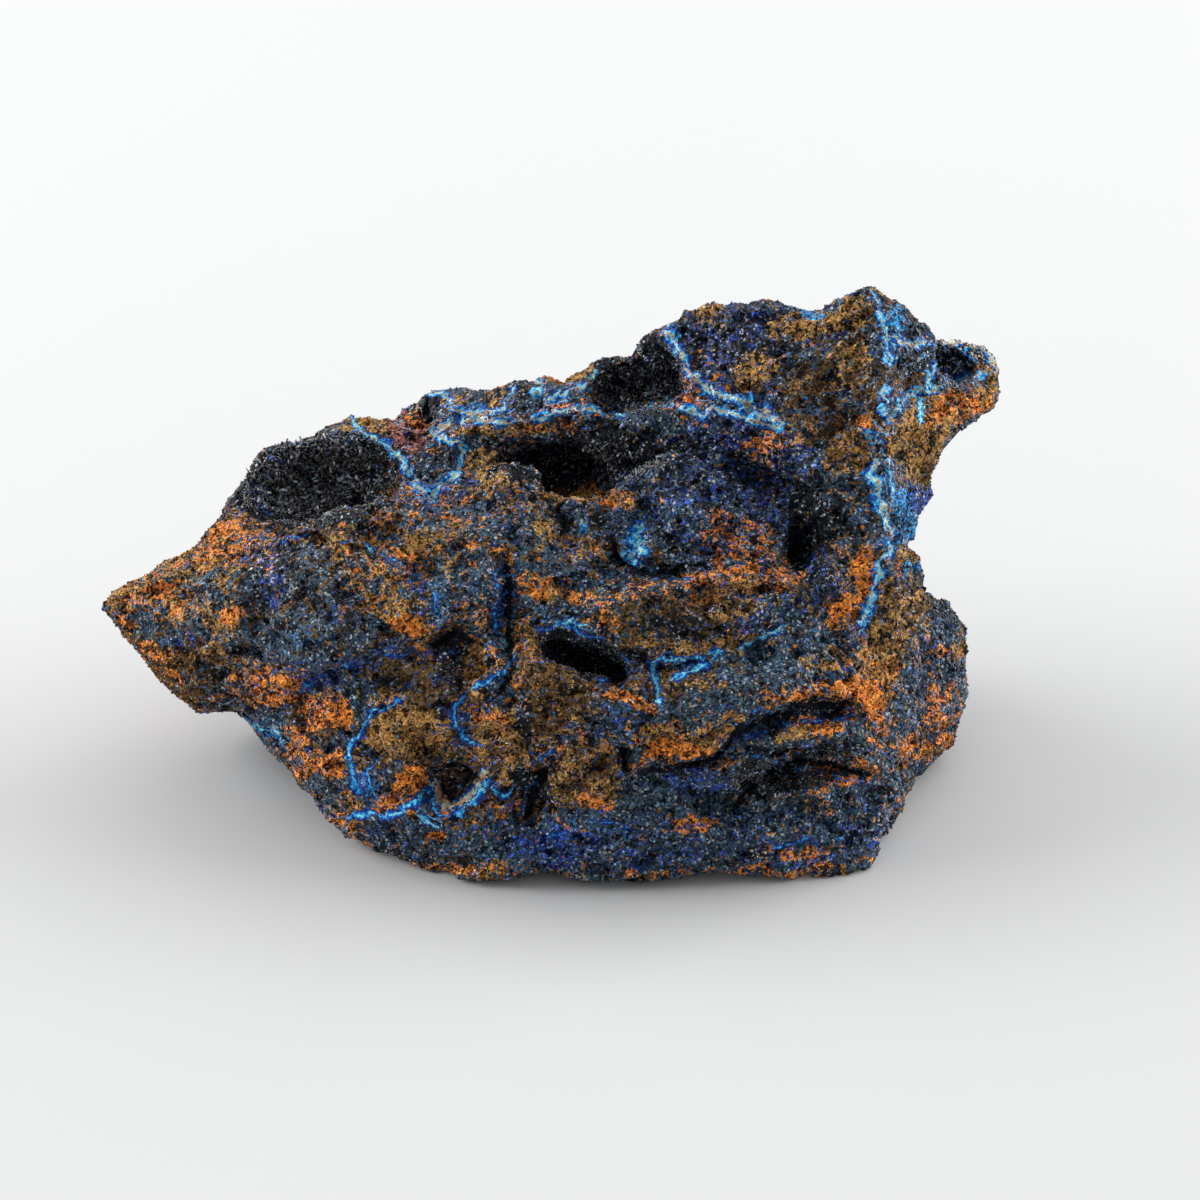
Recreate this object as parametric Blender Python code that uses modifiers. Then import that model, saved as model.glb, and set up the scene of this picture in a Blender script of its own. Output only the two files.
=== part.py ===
"""An azurite specimen: one lump of rusty gossan whose hollows are lined with crusts of azurite crystals.

The gossan is a single solid. Rough convex chunks are joined, trimmed to the lump's outline, cut by the
hollows, carved with its clefts and ledges, and cut off flat where it rests. Each lined hollow holds one
crust, a closed shell with pointed crystals that lies just clear of the rock.

The lump is drawn from its display side, which is looked at from the front and 30 degrees above. Places
on that side are given on a square sheet of 1200 divisions, with a depth in millimetres behind the front.
"""

import math

import bmesh
import bpy
import numpy as np
from mathutils import Matrix, Vector, noise
from mathutils.bvhtree import BVHTree

MM = 0.001

# Driving dimensions, in metres and radians.
LUMP_SPAN = 0.125
VIEW_TILT = math.radians(30)
VIEW_DISTANCE = 0.75
ROCK_VOXEL = 0.0011
CARVED_VOXEL = 0.0010
ROCK_TRIANGLES = 6500
CRUST_GAP = 0.0004
CRUST_THICKNESS = 0.0010
REST_CUT = 0.0008

# The sheet: the lump's span fills SHEET_SPAN of its divisions.
SHEET_SPAN = 905
SHEET_MIDDLE = 600
DIVISION = LUMP_SPAN / SHEET_SPAN
SHEET_ORIGIN = Vector((0.0066, 0.0, 0.0270))
FORWARD = Vector((0, math.cos(VIEW_TILT), -math.sin(VIEW_TILT)))
UPWARD = Vector((0, math.sin(VIEW_TILT), math.cos(VIEW_TILT)))
RIGHT = Vector((1, 0, 0))
EYE = SHEET_ORIGIN - FORWARD * VIEW_DISTANCE

# The outline of the lump on the sheet, clockwise from the tip of the snout.
OUTLINE = [
    (99, 604), (104, 597), (114, 592), (119, 580), (131, 575), (148, 570), (160, 563), (186, 554),
    (200, 545), (207, 533), (221, 522), (228, 500), (248, 478), (252, 465), (262, 450), (275, 438),
    (290, 431), (325, 424), (338, 411), (380, 408), (395, 412), (407, 406), (416, 391), (450, 388),
    (485, 387), (505, 385), (511, 378), (553, 374), (565, 377), (600, 357), (632, 346), (640, 326),
    (650, 319), (668, 314), (700, 296), (712, 291), (763, 291), (775, 299), (812, 313), (838, 301),
    (860, 290), (871, 288), (888, 300), (907, 310), (904, 325), (930, 324), (945, 327), (952, 334),
    (978, 336), (995, 351), (1005, 376), (1003, 395), (996, 406), (970, 423), (945, 436), (934, 470),
    (940, 485), (937, 507), (924, 512), (922, 530), (924, 588), (950, 600), (957, 613), (971, 639),
    (963, 665), (967, 692), (955, 728), (952, 745), (940, 752), (912, 786), (905, 805), (885, 840),
    (872, 868), (850, 877), (800, 879), (735, 872), (715, 870), (670, 877), (640, 881), (580, 880),
    (555, 871), (540, 871), (510, 878), (475, 881), (435, 874), (400, 859), (360, 847), (335, 830),
    (310, 803), (300, 785), (265, 745), (245, 713), (222, 702), (215, 710), (198, 711), (175, 694),
    (153, 672), (145, 657), (112, 620),
]

# The chunks that the lump is made of. "sheet" corners are (across, down, depth in mm); "hidden" corners
# are (x, y, z) in mm, for the sides that the display side doesn't show.
CHUNKS = {
    "body": {
        "sheet": [
            (400, 862, -22), (470, 884, -30), (640, 886, -31), (860, 882, -28), (880, 862, -26),
            (330, 700, -22), (350, 830, -20), (480, 690, -28), (640, 700, -29), (780, 690, -27),
            (880, 650, -19), (340, 545, -12), (500, 516, -9), (620, 592, -18), (790, 587, -16),
            (400, 430, 20), (600, 424, 18), (830, 436, 5), (250, 712, 4), (262, 690, -10),
        ],
        "hidden": [
            (-34, 24, 11), (40, 28, 9), (-38, 28, 22), (45, 32, 24), (-26, 27, 38), (36, 29, 44),
            (-26, 6, 0), (-22, -14, -0.5), (42, 6, 0), (30, 17, -0.4), (-14, 15, 0.6),
        ],
    },
    "back_hump": {
        "sheet": [],
        "hidden": [
            (-32, 20, 14), (-28, 33, 17), (-8, 36, 12), (-2, 24, 2), (-24, 22, 5), (-12, 35, 30),
            (-26, 30, 33), (4, 26, 30), (2, 30, 14),
        ],
    },
    "back_foot": {
        "sheet": [],
        "hidden": [
            (8, 20, -0.2), (26, 22, -0.2), (12, 33, 6), (34, 31, 8), (20, 35, 18), (6, 26, 20),
            (40, 24, 16), (30, 20, -0.2),
        ],
    },
    "back_shoulder": {
        "sheet": [],
        "hidden": [
            (10, 30, 32), (30, 35, 28), (42, 34, 38), (22, 36, 46), (6, 30, 44), (30, 24, 54),
            (40, 22, 26),
        ],
    },
    "snout": {
        "sheet": [
            (97, 604, 2), (112, 580, 4), (110, 624, 0), (200, 560, -9), (200, 541, 9), (196, 690, -9),
            (198, 714, 7), (205, 630, -14), (270, 610, -17), (300, 700, -15), (245, 716, 6),
            (262, 520, 6), (290, 560, -12),
        ],
        "hidden": [(-50, 16, 26), (-40, 24, 16), (-36, 27, 34), (-60, 6, 29)],
    },
    "shield": {
        "sheet": [
            (262, 560, -10), (300, 540, -12), (350, 524, -10), (420, 565, -17), (436, 612, -22),
            (400, 648, -25), (330, 660, -25), (262, 640, -19), (340, 590, -22), (300, 720, -14),
            (400, 520, -6),
        ],
        "hidden": [(-30, 0, 20), (-15, 0, 20), (-30, 10, 35)],
    },
    "vug_block": {
        "sheet": [
            (222, 520, 6), (248, 472, 14), (272, 436, 18), (328, 409, 20), (388, 403, 22), (292, 534, -7),
            (356, 514, -9), (440, 508, -7), (440, 402, 22), (250, 540, 0),
        ],
        "hidden": [(-42, 30, 28), (-18, 33, 38), (-30, 10, 20)],
    },
    "back_ridge": {
        "sheet": [
            (404, 386, 27), (450, 384, 27), (553, 370, 28), (600, 352, 28), (640, 322, 26), (690, 298, 22),
            (436, 432, 13), (480, 421, 12), (570, 413, 11), (640, 406, 10), (700, 409, 8), (792, 428, 3),
            (490, 447, 11), (600, 444, 9), (700, 450, 7), (806, 470, 1),
        ],
        "hidden": [(-18, 34, 36), (14, 36, 42), (34, 30, 40), (0, 20, 25)],
    },
    "tower": {
        "sheet": [
            (664, 316, 22), (700, 292, 20), (762, 287, 18), (812, 306, 15), (871, 285, 13), (906, 306, 18),
            (690, 366, 14), (752, 402, 7), (790, 426, 1), (885, 450, -4), (892, 560, -12), (846, 560, -13),
            (926, 620, -6), (906, 330, 24), (926, 540, 12), (860, 640, -17), (838, 470, -3),
        ],
        "hidden": [(18, 33, 50), (44, 33, 46), (20, 10, 20), (48, 14, 20)],
    },
    "horn": {
        "sheet": [
            (900, 321, 27), (945, 322, 31), (980, 331, 31), (1000, 352, 29), (1008, 378, 26),
            (1004, 402, 22), (972, 428, 18), (940, 442, 14), (896, 400, 6), (888, 345, 12),
            (886, 470, -2), (940, 490, 17), (938, 508, 16),
        ],
        "hidden": [(49, 36, 44), (57, 32, 42), (42, 30, 30)],
    },
    "right_flank": {
        "sheet": [
            (922, 584, 11), (952, 598, 15), (973, 640, 10), (970, 692, 6), (954, 748, 0), (914, 788, -6),
            (887, 842, -17), (884, 600, -15), (878, 868, -25), (920, 700, -12),
        ],
        "hidden": [(47, 29, 9), (50, 29, 20), (30, 14, -0.4), (44, 6, 0)],
    },
}

# Hollows cut right into the lump: centre on the sheet, depth and reach in mm, half-axes in divisions.
HOLLOWS = {
    "left_vug": {"at": (313, 478), "depth": 6, "half": (86, 49), "turn": 9, "reach": 14},
    "cavern": {"at": (562, 468), "depth": 7, "half": (64, 26), "turn": 3, "reach": 15},
    "cavern_end": {"at": (664, 462), "depth": 3, "half": (84, 15), "turn": -5, "reach": 9},
    "mound_back": {"at": (768, 470), "depth": 1, "half": (40, 21), "turn": -16, "reach": 15},
    "upper_hollow": {"at": (641, 380), "depth": 18, "half": (53, 34), "turn": 8, "reach": 11},
    "mound_cleft": {"at": (801, 538), "depth": -7, "half": (13, 28), "turn": -4, "reach": 10},
    "slot": {"at": (588, 650), "depth": -18, "half": (55, 26), "turn": -19, "reach": 14},
    "horn_pocket": {"at": (938, 358), "depth": 22, "half": (44, 21), "turn": -6, "reach": 7},
    "ridge_hollow": {"at": (424, 408), "depth": 21, "half": (20, 13), "turn": 10, "reach": 6},
    "ledge_slot": {"at": (806, 760), "depth": -26, "half": (66, 11), "turn": 12, "reach": 7},
    "upper_slot": {"at": (822, 706), "depth": -25, "half": (32, 9), "turn": -3, "reach": 7},
    "rimmed_pocket": {"at": (444, 782), "depth": -27, "half": (40, 24), "turn": 18, "reach": 6},
}

# Hollows on the hidden sides: centre and half-axes in mm, and the turn about the vertical in degrees.
BACK_HOLLOWS = {
    "back_bay": {"centre": (2, 38, 24), "half": (9, 7, 8), "turn": 20},
    "back_pit": {"centre": (-32, 33, 28), "half": (7, 6, 6), "turn": -30},
    "flank_pit": {"centre": (51, 15, 26), "half": (5, 9, 7), "turn": 10},
    "foot_bay": {"centre": (0, 27, -3), "half": (7, 9, 7), "turn": 0},
    "side_foot_bay": {"centre": (47, 12, -3), "half": (9, 7, 6), "turn": 30},
    "under_bay": {"centre": (-6, 2, -4), "half": (13, 8, 6), "turn": 25},
}

# Lumps that stand up inside the basin: centre, depth of the centre in mm, half-axes, turn, reach in mm.
MOUNDS = {
    "mound": {"at": (690, 510), "depth": -3, "half": (74, 56), "turn": -12, "reach": 9},
    "small_mound": {"at": (655, 556), "depth": -8, "half": (44, 30), "turn": 0, "reach": 7},
    "knob": {"at": (826, 572), "depth": -13, "half": (20, 25), "turn": 0, "reach": 6},
    "cavern_lip": {"at": (512, 480), "depth": -1, "half": (26, 21), "turn": 8, "reach": 6},
}

# Clefts and ledges carved on the display side: points on the sheet, half-width in divisions, and height
# towards the eye in mm (below zero is a cleft).
STROKES = {
    "crack_beside_shield": ([(507, 562), (512, 600), (508, 640), (513, 672), (500, 692)], 7, -3.5),
    "crease_under_shield": ([(300, 690), (345, 668), (385, 652), (430, 643), (452, 624)], 8, -2.6),
    "dark_corner": ([(436, 645), (455, 632), (470, 642)], 12, -3.2),
    "shadow_wall": ([(462, 655), (465, 700)], 8, -2.6),
    "foot_cleft": ([(550, 760), (537, 790), (528, 815)], 9, -4.5),
    "pinhole": ([(622, 746), (624, 768)], 6, -3.0),
    "cyan_seam": ([(654, 700), (655, 672), (690, 663), (722, 656), (762, 640), (800, 622)], 6, -1.3),
    "fold_groove": ([(640, 772), (690, 765), (722, 750), (745, 727), (790, 714)], 8, -3.0),
    "lower_fold_groove": ([(737, 806), (752, 780), (792, 766)], 9, -3.6),
    "nick": ([(690, 788), (700, 798)], 6, -3.0),
    "snout_crease": ([(128, 603), (170, 626), (200, 652), (226, 682), (250, 702)], 9, -1.6),
    "shield_side_groove": ([(248, 562), (285, 549), (322, 538)], 8, -2.0),
    "shield_foot_groove": ([(262, 585), (258, 620), (285, 646)], 12, -1.6),
    "window": ([(560, 516), (568, 526)], 9, -5.0),
    "small_mound_gap": ([(614, 536), (618, 558), (640, 572), (680, 576)], 8, -2.5),
    "shield_rim": (
        [(335, 534), (375, 548), (410, 568), (432, 590), (440, 618), (425, 640), (390, 650)], 7, 1.3,
    ),
    "vug_rim": ([(232, 520), (270, 529), (310, 528), (350, 516), (392, 503), (440, 505)], 8, 1.1),
    "basin_rim": ([(620, 596), (660, 590), (700, 579), (745, 576), (800, 581)], 8, 1.4),
    "brown_ledge": ([(600, 612), (650, 606), (700, 610), (750, 612)], 20, 1.5),
    "slot_lower_lip": ([(500, 658), (540, 670), (590, 689), (640, 682)], 10, 1.4),
    "broad_fold": ([(660, 702), (720, 684), (780, 672), (840, 670), (884, 682)], 14, 2.2),
    "rust_fold": ([(790, 692), (840, 692), (880, 716)], 10, 1.6),
    "lens_fold": ([(745, 746), (790, 738), (830, 732), (868, 738)], 14, 2.4),
    "rusty_bulge": ([(575, 780), (610, 800)], 32, 2.4),
    "orange_bulge": ([(640, 745), (700, 740)], 22, 2.0),
    "ochre_plate": ([(385, 735), (432, 728)], 28, 1.4),
    "corner_edge": ([(884, 300), (884, 440), (893, 500), (890, 560), (905, 610), (930, 640)], 10, 1.6),
    "shelf_lip": ([(440, 430), (480, 421), (570, 412), (640, 405), (700, 409), (788, 427)], 7, 1.3),
    "tower_edge": ([(666, 318), (676, 345), (692, 368), (722, 390), (758, 405), (790, 425)], 7, 1.5),
    "pocket_ledge": ([(350, 818), (385, 822), (420, 805), (446, 814), (482, 792)], 8, 1.6),
    "belly": ([(500, 842), (640, 846), (780, 842)], 26, 1.2),
}

# The lined hollows: the crust's name, how coarse its crystals are, and the hollows that it lies in.
CRUSTS = {
    "azurite_crust_left_vug": (1.0, ("left_vug",)),
    "azurite_crust_cavern": (0.7, ("cavern", "cavern_end")),
    "azurite_crust_upper_hollow": (0.8, ("upper_hollow",)),
    "azurite_crust_slot": (0.6, ("slot",)),
    "azurite_crust_horn_pocket": (0.45, ("horn_pocket",)),
    "azurite_crust_ledge_slot": (0.45, ("ledge_slot",)),
}
FAR_WALL_SHARE = 0.3
LINING_SPREAD = 1.15
LINING_TURN = 0.25
LINING_ROOM = 0.0038
CRYSTAL_SHARE = 0.45
CRYSTAL_HEIGHT = (0.6 * MM, 1.6 * MM)
CRYSTAL_LEAN = 0.35

# Roughness of the rock away from the carved places: noise wavelength and height, in mm.
SWELLS = ((26.0, 1.5), (11.0, 0.9), (5.5, 0.45))
HIDDEN_SWELL = 1.9
SHARPEST_VIEW = 0.12


def clear_scene():
    """Removes every object of the startup scene."""
    for obj in list(bpy.data.objects):
        bpy.data.objects.remove(obj)


def collection(name):
    """A new collection in the scene."""
    made = bpy.data.collections.new(name)
    bpy.context.scene.collection.children.link(made)
    return made


def on_sheet(across, down):
    """The point of the sheet's own plane at these divisions."""
    step = Vector((across, down)) - Vector((SHEET_MIDDLE, SHEET_MIDDLE))
    return SHEET_ORIGIN + RIGHT * step.x * DIVISION - UPWARD * step.y * DIVISION


def at_depth(across, down, depth):
    """The point on the sight line through these divisions, at this depth in mm."""
    ray = on_sheet(across, down) - EYE
    return EYE + ray * ((depth * MM - EYE.y) / ray.y)


def sheet_places(points):
    """The divisions at which the eye sees each of these points, as an array of (across, down)."""
    rays = points - np.array(EYE)
    scale = VIEW_DISTANCE / (rays @ np.array(FORWARD)) / DIVISION
    across = SHEET_MIDDLE + (rays @ np.array(RIGHT)) * scale
    down = SHEET_MIDDLE - (rays @ np.array(UPWARD)) * scale
    return np.column_stack([across, down])


def object_of(name, bm, into):
    """An object made of this bmesh, in the collection given."""
    mesh = bpy.data.meshes.new(name)
    bm.to_mesh(mesh)
    bm.free()
    obj = bpy.data.objects.new(name, mesh)
    into.objects.link(obj)
    return obj


def helper(obj):
    """Marks an object as a cutter or guide, which isn't part of the lump."""
    obj.hide_render = True
    obj.display_type = "WIRE"
    return obj


def settled(obj):
    """The object with its modifiers applied to its mesh."""
    bpy.context.view_layer.update()
    graph = bpy.context.evaluated_depsgraph_get()
    mesh = bpy.data.meshes.new_from_object(obj.evaluated_get(graph))
    obj.modifiers.clear()
    obj.data = mesh
    return obj


def boolean(obj, other, operation):
    """Adds a Boolean of the object with another."""
    modifier = obj.modifiers.new(operation.lower(), "BOOLEAN")
    modifier.operation = operation
    modifier.solver = "EXACT"
    modifier.object = other


def chunk(name, corners, into):
    """A convex chunk around its corners."""
    bm = bmesh.new()
    for across, down, depth in corners["sheet"]:
        bm.verts.new(at_depth(across, down, depth))
    for corner in corners["hidden"]:
        bm.verts.new(Vector(corner) * MM)
    made = bmesh.ops.convex_hull(bm, input=bm.verts)
    spare = [e for e in made["geom_interior"] if isinstance(e, bmesh.types.BMVert)]
    bmesh.ops.delete(bm, geom=spare, context="VERTS")
    bmesh.ops.recalc_face_normals(bm, faces=bm.faces)
    return helper(object_of(name, bm, into))


def outline_prism(into):
    """The outline drawn out along the sight lines, from in front of the lump to behind it."""
    bm = bmesh.new()
    face = bm.faces.new([bm.verts.new(on_sheet(*place)) for place in OUTLINE])
    far = bmesh.ops.extrude_face_region(bm, geom=[face])["geom"]
    far_verts = {v for v in far if isinstance(v, bmesh.types.BMVert)}
    for vert in bm.verts:
        reach = 1.12 if vert in far_verts else 0.90
        vert.co = EYE + (vert.co - EYE) * reach
    bmesh.ops.recalc_face_normals(bm, faces=bm.faces)
    return helper(object_of("outline", bm, into))


def sight_frame(at, depth, turn):
    """The matrix that puts a shape at a place on the sheet, turned in the sheet, with its z to the eye."""
    centre = at_depth(*at, depth)
    back = (EYE - centre).normalized()
    side = UPWARD.cross(back).normalized()
    axes = Matrix((side, back.cross(side), back)).transposed().to_4x4()
    return Matrix.Translation(centre) @ axes @ Matrix.Rotation(math.radians(turn), 4, "Z")


def sheet_placement(spec):
    """The matrix that takes a unit ball to a hollow or mound given on the sheet."""
    across, down = (half * DIVISION for half in spec["half"])
    size = Matrix.Diagonal((across, down, spec["reach"] * MM, 1))
    return sight_frame(spec["at"], spec["depth"], spec["turn"]) @ size


def hidden_placement(spec):
    """The matrix that takes a unit ball to a hollow given in mm."""
    turn = Matrix.Rotation(math.radians(spec["turn"]), 3, "Z").to_quaternion()
    return Matrix.LocRotScale(Vector(spec["centre"]) * MM, turn, Vector(spec["half"]) * MM)


def pebble(name, placement, into):
    """A rough rounded shape: the cutter of a hollow, or a lump that stands up."""
    bm = bmesh.new()
    bmesh.ops.create_icosphere(bm, subdivisions=3, radius=1)
    offset = placement.translation / (9 * MM)
    for vert in bm.verts:
        vert.co *= 1 + 0.16 * noise.noise(vert.co * 1.7 + offset)
    bmesh.ops.transform(bm, matrix=placement, verts=bm.verts)
    return helper(object_of(name, bm, into))


def joined_lump(cutters, into):
    """The chunks joined and trimmed to the outline, with the hollows cut and the mounds added."""
    shapes = [chunk(name, corners, cutters) for name, corners in CHUNKS.items()]
    lump = object_of("gossan_matrix", bmesh.new(), into)
    lump.data = shapes[0].data.copy()
    for shape in shapes[1:]:
        boolean(lump, shape, "UNION")
    boolean(lump, outline_prism(cutters), "INTERSECT")
    for name, spec in HOLLOWS.items():
        boolean(lump, pebble(name, sheet_placement(spec), cutters), "DIFFERENCE")
    for name, spec in BACK_HOLLOWS.items():
        boolean(lump, pebble(name, hidden_placement(spec), cutters), "DIFFERENCE")
    for name, spec in MOUNDS.items():
        boolean(lump, pebble(name, sheet_placement(spec), cutters), "UNION")
    return lump


def even_mesh(lump, voxel, smoothing):
    """Gives the lump an even mesh, with its sharp corners worn."""
    remesh = lump.modifiers.new("even mesh", "REMESH")
    remesh.mode = "VOXEL"
    remesh.voxel_size = voxel
    worn = lump.modifiers.new("worn corners", "SMOOTH")
    worn.factor = 0.5
    worn.iterations = smoothing
    return settled(lump)


def stroke_distance(places, line):
    """How far each place on the sheet is from a line of points, in divisions."""
    nearest = np.full(len(places), np.inf)
    for start, end in zip(line, line[1:]):
        start, along = np.array(start, float), np.subtract(end, start).astype(float)
        share = np.clip((places - start) @ along / (along @ along), 0, 1)
        nearest = np.minimum(nearest, np.linalg.norm(places - start - share[:, None] * along, axis=1))
    return nearest


def carve(lump):
    """Carves the clefts and ledges along the sight lines, and roughens the whole lump."""
    mesh = lump.data
    points = np.empty(len(mesh.vertices) * 3)
    mesh.vertices.foreach_get("co", points)
    points = points.reshape(-1, 3)
    normals = np.array([vert.normal for vert in mesh.vertices])
    to_eye = np.array(EYE) - points
    to_eye /= np.linalg.norm(to_eye, axis=1)[:, None]
    facing = np.clip((normals * to_eye).sum(axis=1) / SHARPEST_VIEW, 0, 1)
    places = sheet_places(points)
    height = np.zeros(len(points))
    for line, half_width, rise in STROKES.values():
        spread = stroke_distance(places, line) / half_width
        height += rise * MM * np.exp(-(spread**2)) * facing
    swell = np.zeros(len(points))
    for wavelength, rise in SWELLS:
        spots = (Vector(point) / (wavelength * MM) for point in points)
        swell += rise * MM * np.array([noise.noise(spot) for spot in spots])
    swell *= 1 + (HIDDEN_SWELL - 1) * (1 - facing)
    points += to_eye * height[:, None] + normals * swell[:, None]
    mesh.vertices.foreach_set("co", points.ravel())
    mesh.update()


def trimmed_down(lump):
    """Fewer triangles, kept where the shape turns."""
    mesh = lump.data
    mesh.calc_loop_triangles()
    fewer = lump.modifiers.new("fewer triangles", "DECIMATE")
    fewer.ratio = ROCK_TRIANGLES / len(mesh.loop_triangles)
    fewer.use_collapse_triangulate = True
    return settled(lump)


def cut_base(lump):
    """Cuts the lump off flat where it rests, and drops any crumb that comes loose."""
    bm = bmesh.new()
    bm.from_mesh(lump.data)
    whole = list(bm.verts) + list(bm.edges) + list(bm.faces)
    cut = bmesh.ops.bisect_plane(
        bm, geom=whole, plane_co=(0, 0, REST_CUT), plane_no=(0, 0, -1), clear_outer=True,
    )
    edges = [e for e in cut["geom_cut"] if isinstance(e, bmesh.types.BMEdge)]
    bmesh.ops.holes_fill(bm, edges=edges)
    keep_largest(bm)
    bmesh.ops.recalc_face_normals(bm, faces=bm.faces)
    bmesh.ops.triangulate(bm, faces=bm.faces)
    bm.to_mesh(lump.data)
    bm.free()


def linked_groups(bm):
    """The faces in groups that hang together."""
    left, groups = set(bm.faces), []
    while left:
        group, todo = set(), [left.pop()]
        while todo:
            face = todo.pop()
            group.add(face)
            near = {f for edge in face.edges for f in edge.link_faces} & left
            left -= near
            todo += near
        groups.append(group)
    return groups


def keep_largest(bm):
    """Deletes all but the largest group of faces."""
    groups = sorted(linked_groups(bm), key=len)
    spare = [face for group in groups[:-1] for face in group]
    bmesh.ops.delete(bm, geom=spare, context="FACES")
    loose = [vert for vert in bm.verts if not vert.link_faces]
    bmesh.ops.delete(bm, geom=loose, context="VERTS")


def drop_pinches(bm):
    """Deletes faces until no vertex of the patch joins two separate runs of its edge."""
    while True:
        pinched = [v for v in bm.verts if sum(e.is_boundary for e in v.link_edges) > 2]
        if not pinched:
            return
        spare = {face for vert in pinched for face in vert.link_faces}
        bmesh.ops.delete(bm, geom=list(spare), context="FACES")
        keep_largest(bm)


def lines_hollow(face, placement, wall, coarseness):
    """Whether this face is part of the wall of the hollow, and has room in front of it for crystals."""
    to_ball = placement.inverted()
    centre = face.calc_center_median()
    spot = to_ball @ centre
    inward = -(to_ball.to_3x3().transposed() @ spot).normalized()
    if spot.length > LINING_SPREAD or face.normal.dot(inward) < LINING_TURN:
        return False
    distance = wall.ray_cast(centre + face.normal * CRUST_GAP, face.normal)[3]
    return distance is None or distance > LINING_ROOM * coarseness


def lining(hollows, wall, lump, coarseness):
    """The faces of the rock that a crust grows on, as one patch."""
    placements = [sheet_placement(HOLLOWS[hollow]) for hollow in hollows]
    patch = bmesh.new()
    patch.from_mesh(lump.data)
    patch.normal_update()
    outer = [
        face
        for face in patch.faces
        if not any(lines_hollow(face, placement, wall, coarseness) for placement in placements)
    ]
    bmesh.ops.delete(patch, geom=outer, context="FACES")
    keep_largest(patch)
    drop_pinches(patch)
    return patch


def clear_height(wall, spot, direction, wanted):
    """The height wanted, or less where the far wall of the hollow is too near for it."""
    distance = wall.ray_cast(spot, direction)[3]
    return wanted if distance is None else min(wanted, FAR_WALL_SHARE * distance)


def grown_shell(patch, wall, coarseness):
    """A closed shell over the patch, just clear of it, with pointed crystals on top."""
    bm = patch.copy()
    bm.normal_update()
    for vert, normal in [(vert, vert.normal.copy()) for vert in bm.verts]:
        vert.co += normal * CRUST_GAP
    grown = bmesh.ops.extrude_face_region(bm, geom=list(bm.faces), use_keep_orig=True)["geom"]
    top = [f for f in grown if isinstance(f, bmesh.types.BMFace)]
    for vert in sorted({v for f in top for v in f.verts}, key=lambda v: v.index):
        vert.co += vert.normal * clear_height(wall, vert.co, vert.normal, CRUST_THICKNESS * coarseness)
    bmesh.ops.recalc_face_normals(bm, faces=bm.faces)
    low, high = (height * coarseness for height in CRYSTAL_HEIGHT)
    pointed = [face for face in top if noise.random() < CRYSTAL_SHARE]
    for tip in bmesh.ops.poke(bm, faces=pointed)["verts"]:
        way = tip.normal + noise.random_unit_vector() * CRYSTAL_LEAN
        tip.co += way * clear_height(wall, tip.co, way, low + (high - low) * noise.random())
    bmesh.ops.triangulate(bm, faces=bm.faces)
    bmesh.ops.recalc_face_normals(bm, faces=bm.faces)
    return bm


def crossings(bm):
    """The middles of the faces that cut through another face."""
    tree = BVHTree.FromBMesh(bm)
    bm.faces.ensure_lookup_table()
    pairs = [(bm.faces[one], bm.faces[other]) for one, other in tree.overlap(tree) if one < other]
    apart = [pair for pair in pairs if not set(pair[0].verts) & set(pair[1].verts)]
    return [face.calc_center_median() for pair in apart for face in pair]


def crust(name, coarseness, hollows, lump, into):
    """A shell of pointed crystals over the wall of a hollow, bare where its crystals would cross."""
    rock = bmesh.new()
    rock.from_mesh(lump.data)
    wall = BVHTree.FromBMesh(rock)
    rock.free()
    patch = lining(hollows, wall, lump, coarseness)
    shell = grown_shell(patch, wall, coarseness)
    while spots := crossings(shell):
        near = BVHTree.FromBMesh(patch)
        patch.faces.ensure_lookup_table()
        spare = {near.find_nearest(spot)[2] for spot in spots}
        bmesh.ops.delete(patch, geom=[patch.faces[index] for index in spare], context="FACES")
        keep_largest(patch)
        drop_pinches(patch)
        shell = grown_shell(patch, wall, coarseness)
    patch.free()
    return object_of(name, shell, into)


def material(name, colour, roughness):
    """A plain finish: colour in linear light, and roughness."""
    made = bpy.data.materials.new(name)
    made.use_nodes = True
    shader = made.node_tree.nodes["Principled BSDF"]
    shader.inputs["Base Color"].default_value = (*colour, 1)
    shader.inputs["Roughness"].default_value = roughness
    shader.inputs["Metallic"].default_value = 0.0
    return made


def centre_on_base(objects, lump):
    """Moves everything so that the origin is under the middle of the lump, at its base."""
    points = np.array([vert.co for vert in lump.data.vertices])
    low, high = points.min(axis=0), points.max(axis=0)
    shift = Matrix.Translation((-(low[0] + high[0]) / 2, -(low[1] + high[1]) / 2, -low[2]))
    for obj in objects:
        obj.data.transform(shift)
    print("origin moved by", [round(value / MM, 3) for value in shift.translation], "mm")


def main():
    """Builds the lump and its crusts."""
    clear_scene()
    noise.seed_set(7)
    specimen = collection("azurite_specimen")
    cutters = collection("cutters")
    lump = joined_lump(cutters, specimen)
    even_mesh(settled(lump), ROCK_VOXEL, 4)
    carve(lump)
    even_mesh(lump, CARVED_VOXEL, 1)
    trimmed_down(lump)
    cut_base(lump)
    lump.data.materials.clear()
    lump.data.materials.append(material("rusty gossan", (0.16, 0.085, 0.035), 0.85))
    azurite = material("azurite druse", (0.012, 0.018, 0.07), 0.3)
    crusts = [crust(name, *grown, lump, specimen) for name, grown in CRUSTS.items()]
    for obj in crusts:
        obj.data.materials.append(azurite)
    centre_on_base([lump, *crusts], lump)


main()
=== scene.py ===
"""An azurite specimen, dressed: a lump of rusty gossan with crystal-lined hollows and copper veins.

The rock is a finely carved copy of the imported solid. Its minerals are laid out on the display sheet, a
square of 1200 divisions seen from the front and above, and follow a noise of their own on the hidden
sides. Crystals and grit are thousands of small faceted solids, joined into a few pieces.
"""

from __future__ import annotations

import logging
import math
from dataclasses import dataclass, field
from enum import Enum

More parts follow.
